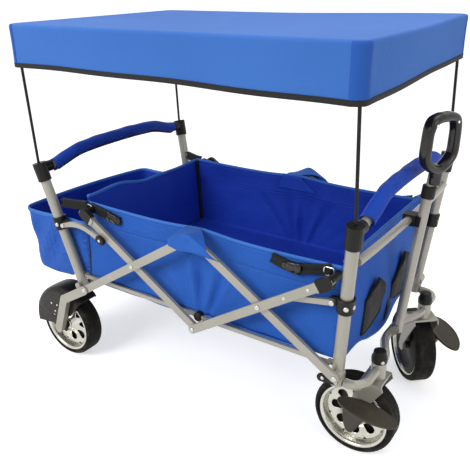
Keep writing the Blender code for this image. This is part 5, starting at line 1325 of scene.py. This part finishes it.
def buildWheels(materials):
    # A tyre: lip, shoulder arc and crown, mirrored, then turned about the axle as (width, radius)
    size = {"radius": drawn["axleZ"], "half": 0.0265, "bead": 0.0775, "shoulder": 0.0105, "steps": 240, "ribs": 60}
    turn = np.linspace(0, math.tau, size["steps"], endpoint=False)[None, :]
    arc = np.radians(np.linspace(0, 84, 9))
    lip = [(size["half"] - 0.0045, size["bead"] + 0.0006), (size["half"] - 0.0012, size["bead"] + 0.0030),
           (size["half"], size["bead"] + 0.0062)]
    shoulder = [(size["half"] - size["shoulder"] * (1 - math.cos(a)),
                 size["radius"] - size["shoulder"] * (1 - math.sin(a))) for a in arc]
    crown = [(width, size["radius"]) for width in np.linspace(size["half"] - size["shoulder"], 0.0, 12)[1:]]
    halfLine = np.array(lip + shoulder + crown)
    profile = np.vstack([halfLine, halfLine[-2::-1] * np.array([-1, 1])])
    profile = np.vstack([profile, [(-size["half"] + 0.0045, size["bead"]), (size["half"] - 0.0045, size["bead"])]])
    width = profile[:, :1]
    # tread: two fine grooves round the tyre and shallow slanted sipes on the shoulders
    radius = np.broadcast_to(profile[:, 1:2], (len(profile), size["steps"])).copy()
    crownMask = profile[:, 1:2] > size["radius"] - 0.004
    groove = np.exp(-((np.abs(width) - 0.0085) / 0.0011) ** 2)
    sipe = np.clip(np.cos(turn * size["ribs"] + np.abs(width) * 240) - 0.72, 0, 1) / 0.28
    radius -= crownMask * (0.0011 * groove + 0.0008 * sipe * (np.abs(width) > 0.0105))
    width = np.broadcast_to(width, radius.shape)
    wheels = [
        ("front_tyre_left", "front_rim_left"), ("front_tyre_right", "front_rim_right"),
        ("rear_tyre_left", "rear_rim_left"), ("rear_tyre_right", "rear_rim_right"),
    ]
    rimPoints, rimFaces = rimSheet()
    for tyreNode, rimNode in wheels:
        low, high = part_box(rimNode)
        centre = (np.array(low) + np.array(high)) / 2
        centre[2] = size["radius"]
        outward = 1.0 if centre[1] > 0 else -1.0
        axis = wheelAxis(tyreNode, outward)
        ahead = np.array([axis[1], -axis[0], 0.0])
        up = np.array([0, 0, 1.0])
        points = centre + width[:, :, None] * axis
        points = points + (radius * np.cos(turn))[:, :, None] * ahead + (radius * np.sin(turn))[:, :, None] * up
        rows, columns = points.shape[:2]
        flat = flatPlaces(turn * 0.09, profile[:, :1])
        tyre = fuse(joinedName(tyreNode) + "Rubber",
                    [(points.reshape(-1, 3), gridFaces(rows, columns, False, True), flat.reshape(-1, 2))])
        body = [name for name, parts in carriers.items() if tyreNode in parts][0]
        dress(tyre, materials["tyreRubber"], body)
        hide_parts(tyreNode)
        spots = centre + rimPoints[:, 2:3] * axis + rimPoints[:, :1] * ahead + rimPoints[:, 1:2] * up
        rim = meshFromArrays(joinedName(rimNode) + "Disc", spots, rimFaces)
        weld(rim, 0.00005)
        wall = rim.modifiers.new("thickness", "SOLIDIFY")
        wall.thickness = 0.0034
        wall.offset = 0.0
        dress(rim, materials["brightRim"], body)
        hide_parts(rimNode)
        cap = revolved([(0.0245, 0.0), (0.0275, 0.0), (0.0272, 0.006), (0.0262, 0.0085), (0.0235, 0.0095),
                        (0.010, 0.0105), (-0.020, 0.0105), (-0.0215, 0.0)],
                       centre, axis, 28)
        # a dark disc behind the dish: painted shade seen through its windows
        shadeDisc = revolved([(-0.0030, 0.0), (-0.0030, 0.0735), (-0.0150, 0.0735), (-0.0150, 0.0)], centre, axis, 72)
        hub = fuse(joinedName(rimNode) + "HubAndShadeDisc", [cap, shadeDisc])
        dress(hub, materials["fenderPlastic"], body)
    print("wheels done")


def joinedName(node):
    # front_tyre_left gives FrontTyreLeft
    return node.replace("_", " ").title().replace(" ", "")


def wheelAxis(node, outward):
    # The left caster stands turned, so its wheel's axle is turned with it
    turn = math.radians(drawn["casterTurn"]) if node == "front_tyre_left" else 0.0
    return np.array([-math.sin(turn) * outward, math.cos(turn) * outward, 0.0])


def rimSheet():
    # A deep dish with oval windows: each sector is filled between an oval hole and the sector's own border,
    # (1 - k) * hole(a) + k * border(a), then bent round the wheel and pressed to the dish by radius
    look = {"windows": 8, "inner": 0.0150, "outer": 0.0690, "hole": (0.58, 0.52), "around": 44, "across": 8}
    a = np.linspace(0, math.tau, look["around"], endpoint=False)
    c, s = np.cos(a), np.sin(a)
    border = np.stack([c, s], axis=1) / np.maximum(np.abs(c), np.abs(s))[:, None]
    hole = np.stack([look["hole"][0] * np.sign(c) * np.abs(c) ** 0.9,
                     look["hole"][1] * np.sign(s) * np.abs(s) ** 0.9 + 0.14], axis=1)
    k = np.linspace(0, 1, look["across"])[:, None, None]
    local = (1 - k) * hole[None] + k * border[None]
    points, faces = [], []
    rows, columns = local.shape[:2]
    for index in range(look["windows"]):
        middle = math.tau * index / look["windows"]
        radius = look["inner"] + (look["outer"] - look["inner"]) * (local[:, :, 1] + 1) / 2
        turn = middle + local[:, :, 0] * math.pi / look["windows"]
        points.append(np.stack([radius * np.cos(turn), radius * np.sin(turn), dishHeight(radius)],
                               axis=-1).reshape(-1, 3))
        faces += [tuple(corner + index * rows * columns for corner in face)
                  for face in gridFaces(rows, columns, False, True)]
    base = look["windows"] * rows * columns
    # the barrel: from the dish's edge out over the flange, and back through the tyre to the inner flange
    barrel = [(look["outer"], dishHeight(np.array(look["outer"]))), (0.0712, 0.0090), (0.0722, 0.0150),
              (0.0735, 0.0195), (0.0752, 0.0226), (0.0776, 0.0236), (0.0790, 0.0222), (0.0772, 0.0195),
              (0.0762, 0.0150), (0.0756, 0.0), (0.0762, -0.0195), (0.0788, -0.0228)]
    boss = [(look["inner"] + 0.0004, dishHeight(np.array(look["inner"]))), (0.0128, 0.0200), (0.0112, 0.0215),
            (0.0100, 0.0215)]
    for profile, steps in ((barrel, 120), (boss, 60)):
        # each profile of (radius, height) is turned about the wheel's axis
        profile = np.array(profile, float)
        turn = np.linspace(0, math.tau, steps, endpoint=False)
        height = np.broadcast_to(profile[:, 1:2], (len(profile), steps))
        points.append(np.stack([profile[:, :1] * np.cos(turn), profile[:, :1] * np.sin(turn), height],
                               axis=-1).reshape(-1, 3))
        faces += [tuple(corner + base for corner in face) for face in gridFaces(len(profile), steps, False, True)]
        base += len(profile) * steps
    return np.vstack(points), faces


def dishHeight(radius):
    # Deep near the barrel, raised again to the hub
    share = np.clip((radius - 0.0150) / 0.0540, 0, 1)
    return 0.0190 - 0.0150 * np.sin(math.pi * share ** 0.85) - 0.0150 * share ** 2


# Grip

def buildGrip(materials):
    look = {"pivot": (0.4405, 0.0, 0.2435), "lean": 5.7, "tip": 1.5, "turn": 22.0, "base": 0.3575}
    lean, tip, turn = (math.radians(look[key]) for key in ("lean", "tip", "turn"))
    axis = np.array([math.sin(lean), 0, math.cos(lean)])
    up = np.array([math.sin(tip), 0, math.cos(tip)])
    flatY = np.array([math.sin(turn), math.cos(turn), 0])
    across = flatY - up * flatY.dot(up)
    across /= np.linalg.norm(across)
    out = np.cross(across, up)
    seat = np.array(look["pivot"]) + axis * (look["base"] + 0.028) - up * 0.010
    # A closed loop through hand bar, corners, sides and the shoulders that meet on the neck; broad, flat section
    outline = np.array([(0.0, 0.0120), (0.0200, 0.0175), (0.0385, 0.0300), (0.0470, 0.0440), (0.0475, 0.0700),
                        (0.0455, 0.0960), (0.0370, 0.1130), (0.0180, 0.1188), (0.0, 0.1192), (-0.0180, 0.1188),
                        (-0.0370, 0.1130), (-0.0455, 0.0960), (-0.0475, 0.0700), (-0.0470, 0.0440),
                        (-0.0385, 0.0300), (-0.0200, 0.0175)])
    outline = outline * np.array([0.88, 1.0])
    ring = np.vstack([outline, outline[:1]])
    loop = smoothPath(np.column_stack([np.vstack([outline[-1:], ring, outline[1:2]]), np.zeros(len(ring) + 2)]),
                      181)[10:-10, :2]
    loop = loop[:-1]
    path = seat + loop[:, :1] * across + loop[:, 1:2] * up
    high = loop[:, 1]
    # the hand bar is rounder, the shoulders are deeper
    spread = np.stack([np.interp(high, [0.012, 0.04, 0.09, 0.12], [1.05, 0.92, 0.92, 1.05]),
                       np.interp(high, [0.012, 0.04, 0.09, 0.12], [1.0, 0.98, 0.94, 1.04])], axis=1)
    shapes = [swept(path, ovalProfile(0.0190, 0.0268, 24, 2.5), out, spread, True)]
    neckPath = seat + np.linspace(-0.0185, 0.0170, 14)[:, None] * up
    widths = np.interp(np.linspace(0, 1, 14), [0, 0.45, 0.7, 1.0], [1.0, 1.0, 1.35, 1.9])
    depths = np.interp(np.linspace(0, 1, 14), [0, 0.5, 1.0], [1.0, 1.0, 1.04])
    shapes.append(swept(neckPath, ovalProfile(0.0252, 0.0252, 24), out, np.stack([widths, depths], axis=1)))
    grip = fuse("gripLoop", shapes)
    dress(grip, materials["glossyGripPlastic"], "pull_pole_stage")
    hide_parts("pull_grip")
    # two screws on the side bars
    screws = [revolved([(-0.001, 0.0), (-0.001, 0.0030), (0.0004, 0.0030), (0.0008, 0.0)],
                       seat + across * reach + up * 0.108 + out * 0.0130, out, 12)
              for reach in (0.0317, -0.0317)]
    dress(fuse("gripScrews", screws), materials["chromePlate"], "pull_pole_stage")
    print("grip done")


# Fenders and paddles

def buildFenders(materials):
    # Hoods over the rear wheels: a cheek and a crowned band swept about the axle, rivets and a boss on the cheek
    look = {"start": 50.0, "end": 156.0, "cheek": 0.2626, "wall": 0.0030, "steps": 56, "columns": 44}
    line = [(0.2611, 0.0440), (0.2611, 0.0600), (0.2618, 0.0660), (0.2618, 0.0900), (0.2611, 0.0960),
            (0.2605, 0.1040), (0.2575, 0.1100), (0.2520, 0.1140), (0.2440, 0.1158), (0.2280, 0.1166),
            (0.2120, 0.1162), (0.1960, 0.1152), (0.1925, 0.1135), (0.1920, 0.1100)]
    line = smoothPath(np.column_stack([np.array(line), np.zeros(len(line))]), look["columns"])[:, :2]
    for side, word in ((1, "left"), (-1, "right")):
        turn = np.radians(np.linspace(look["start"], look["end"], look["steps"]))[:, None]
        ends = np.exp(-((turn - turn[0]) / 0.05) ** 2)
        # the cheek's lower edge is cut in an arc round the axle, and the hood's front end turns down
        inner = 0.0440 + 0.0120 * np.abs(np.linspace(-1, 1, look["steps"]))[:, None] ** 2
        radius = np.maximum(line[None, :, 1],
                            np.broadcast_to(inner, (look["steps"], look["columns"]))) - 0.0035 * ends
        y = np.broadcast_to(line[None, :, 0], radius.shape)
        points = np.stack([drawn["axleX"] + shiftX + radius * np.cos(turn), side * y,
                           drawn["axleZ"] + radius * np.sin(turn)], axis=-1)
        flat = flatPlaces(turn * 0.11, line[None, :, 1])
        hood = gridPiece("rearFender_" + word, points, flat, side > 0)
        dress(hood, materials["fenderPlastic"], "rear_frame")
        addThickness(hood, look["wall"], -1.0)
        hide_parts("rear_fender_" + word)
        face = look["cheek"]
        spots = [(-0.4600, 0.1560), (-0.4480, 0.1340), (-0.4370, 0.1560)]
        rivets = fuse("fenderRivets_" + word,
                      [rivetShape(x, face + 0.0002, z, side, 0.0032, 0.0013) for x, z in spots])
        dress(rivets, materials["rivetSteel"], "rear_frame")
        boss = revolved([(-0.003, 0.0), (-0.003, 0.0150), (0.0008, 0.0150), (0.0022, 0.0135), (0.0034, 0.0090),
                         (0.0046, 0.0082), (0.0052, 0.0)],
                        (drawn["axleX"] + shiftX, side * (face - 0.0010), drawn["axleZ"]), (0, side, 0), 28)
        arm = slab(stadiumOutline(0.0560, 0.0135), (drawn["axleX"] + shiftX, side * 0.2604, drawn["axleZ"]),
                   (math.cos(2.06), 0, math.sin(2.06)), (-math.sin(2.06), 0, math.cos(2.06)), 0.0036, 0.0010)
        trim = sharpen(fuse("fenderTrim_" + word, [boss, arm]))
        dress(trim, materials["fenderPlastic"], "rear_frame")
    print("fenders done")


def buildPaddles(materials):
    # Brake paddles: an oval leaf whose half width is sin(pi s) ** 0.5, cupped inside a raised rim, on a V shaped stem
    look = {"length": 0.134, "width": 0.056, "thick": 0.0125, "rise": 0.0572, "ahead": 0.046, "tilt": math.radians(6)}
    s = np.linspace(0, 1, 60)[:, None]
    turn = np.linspace(0, math.tau, 48, endpoint=False)[None, :]
    outline = np.sin(math.pi * (0.008 + 0.984 * s)) ** 0.5
    rim = np.abs(np.cos(turn)) ** 0.55
    across = outline * np.sign(np.cos(turn)) * rim * look["width"] / 2
    cup = np.where(np.sin(turn) > 0, -0.0046 * (1 - rim ** 8) * outline, 0.0)
    skin = np.sign(np.sin(turn)) * np.abs(np.sin(turn)) ** 0.4 * look["thick"] / 2 * (0.45 + 0.55 * outline) + cup
    along = (s - 0.5) * look["length"]
    for side, word, turned in ((1, "left", math.radians(drawn["casterTurn"])), (-1, "right", 0.0)):
        swivel = np.array([drawn["casterPlace"][0] + shiftX, side * drawn["casterPlace"][1], drawn["axleZ"]])
        ahead = np.array([math.cos(turned), math.sin(turned), 0.0])
        out = np.array([-math.sin(turned), math.cos(turned), 0.0]) * side
        up = np.array([0, 0, 1.0])
        axle = swivel - ahead * 0.041
        tilted = ahead * math.cos(look["tilt"]) - up * math.sin(look["tilt"])
        centre = axle + ahead * look["ahead"] + out * (0.0322 + look["width"] / 2) + up * look["rise"]
        points = centre + along[:, :, None] * tilted + across[:, :, None] * out + skin[:, :, None] * up
        flat = flatPlaces(along, turn * 0.01)
        rows, columns = points.shape[:2]
        faces = gridFaces(rows, columns, False, True)
        faces += endFaces(rows, columns)
        leaf = (points.reshape(-1, 3), faces, flat.reshape(-1, 2))
        # the stem narrows from the leaf to a rounded foot below the axle
        wide = np.array([(0.058, 0.052), (0.050, 0.040), (0.030, 0.010), (0.0130, -0.0200), (0.0080, -0.0270),
                         (0.0010, -0.0290), (-0.0060, -0.0250), (-0.0120, -0.0100), (-0.0160, 0.0200),
                         (-0.0180, 0.0500)])
        stem = slab(wide, axle + out * 0.0410, ahead, up, 0.0090, 0.0020)
        paddle = sharpen(fuse("brakePaddle_" + word, [leaf, stem]), 50)
        dress(paddle, materials["brownMouldedPlastic"], "front_brake_" + word)
        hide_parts("front_brake_paddle_" + word)
    print("paddles done")


def buildFrontFittings(materials):
    # Black caps with a bolt over the head tubes, and an ear with two bolts at each front post's foot
    foot, head = posts["front"]["foot"], posts["front"]["head"]
    caps, bolts = [], []
    for side in (1, -1):
        top = np.array([drawn["casterPlace"][0] + shiftX, side * drawn["casterPlace"][1], 0.0])
        caps.append(revolved([(0.2420, 0.0), (0.2420, 0.0164), (0.2430, 0.0170), (0.2545, 0.0170), (0.2580, 0.0150),
                              (0.2682, 0.0130), (0.2694, 0.0115), (0.2698, 0.0)],
                             top, (0, 0, 1), 28))
        bolts.append(revolved([(-0.001, 0.0), (-0.001, 0.0044), (0.0012, 0.0040), (0.0020, 0.0)],
                              top + np.array([0.0118, side * 0.0118, 0.2480]), (0.70, side * 0.71, 0), 18))
        spot = mirrored(np.array([postPoint(foot, head, 0.2330)]), side)[0]
        ear = slab(stadiumOutline(0.030, 0.0095), spot + np.array([shiftX, side * 0.0130, 0]), (-1, 0, -0.10),
                   (0, 0, 1), 0.0060, 0.0012)
        caps.append(ear)
        for reach in (-0.026, 0.004):
            bolts.append(revolved([(-0.001, 0.0), (-0.001, 0.0042), (0.0012, 0.0038), (0.0020, 0.0)],
                                  spot + np.array([shiftX + reach, side * 0.0165, -0.002]), (0, side, 0), 18))
    black = sharpen(fuse("frontFrameCaps", caps))
    dress(black, materials["blackMouldedPlastic"], "front_frame")
    heads = fuse("frontFrameBolts", bolts)
    dress(heads, materials["rivetSteel"], "front_frame")


# Stages

carriers = frame["record"]["behaviour"]["bodies"]
carriers = {entry["name"]: entry["nodes"] for entry in carriers} if isinstance(carriers, list) else carriers
materials = makeMaterials()
print("materials done")
makeCamera()
makeStudio()
finishes = {
    "greyPaintedSteel": ["bar_", "front_link", "rear_link", "front_rail", "rear_rail", "front_post_left",
                         "front_post_right", "rear_post_left", "rear_post_right", "front_lower", "front_upper",
                         "rear_cross", "caster_fork", "rear_leg", "handle_tube", "pull_pole_outer",
                         "pull_pole_inner"],
    "blackMouldedPlastic": ["post_cap", "pole_clip", "pull_pole_collar"],
    "fenderPlastic": ["rear_fender", "rear_brake_pedal"],
    "brownMouldedPlastic": ["front_brake_paddle"],
    "tyreRubber": ["_tyre_"],
    "brightRim": ["_rim_"],
    "glossyGripPlastic": ["pull_grip"],
    "blueCloth": ["bed_fabric", "front_panel", "rear_panel", "rear_pouch", "canopy_cover"],
    "sleeveCloth": ["handle_sleeve"],
}
for finish, words in finishes.items():
    for name, node in frame["nodes"].items():
        if any(word in name for word in words):
            node.data.materials.clear()
            node.data.materials.append(materials[finish])
buildCanopy(materials)
buildBed(materials)
buildFrontPanel(materials)
buildRearPanel(materials)
buildPouch(materials)
buildSleeve(materials, "front", posts["front"]["head"],
            {"end": 0.052, "rise": 0.041, "tubeRise": 0.038, "wide": 0.0315, "high": 0.0310}, "front_frame")
buildSleeve(materials, "rear", posts["rear"]["head"],
            {"end": 0.038, "rise": 0.030, "tubeRise": 0.026, "wide": 0.0300, "high": 0.0275}, "rear_frame")
buildRivets(materials)
buildClamps(materials)
buildBrackets(materials)
buildLinkEnds(materials)
buildStraps(materials)
buildWheels(materials)
buildGrip(materials)
buildFenders(materials)
buildPaddles(materials)
buildFrontFittings(materials)
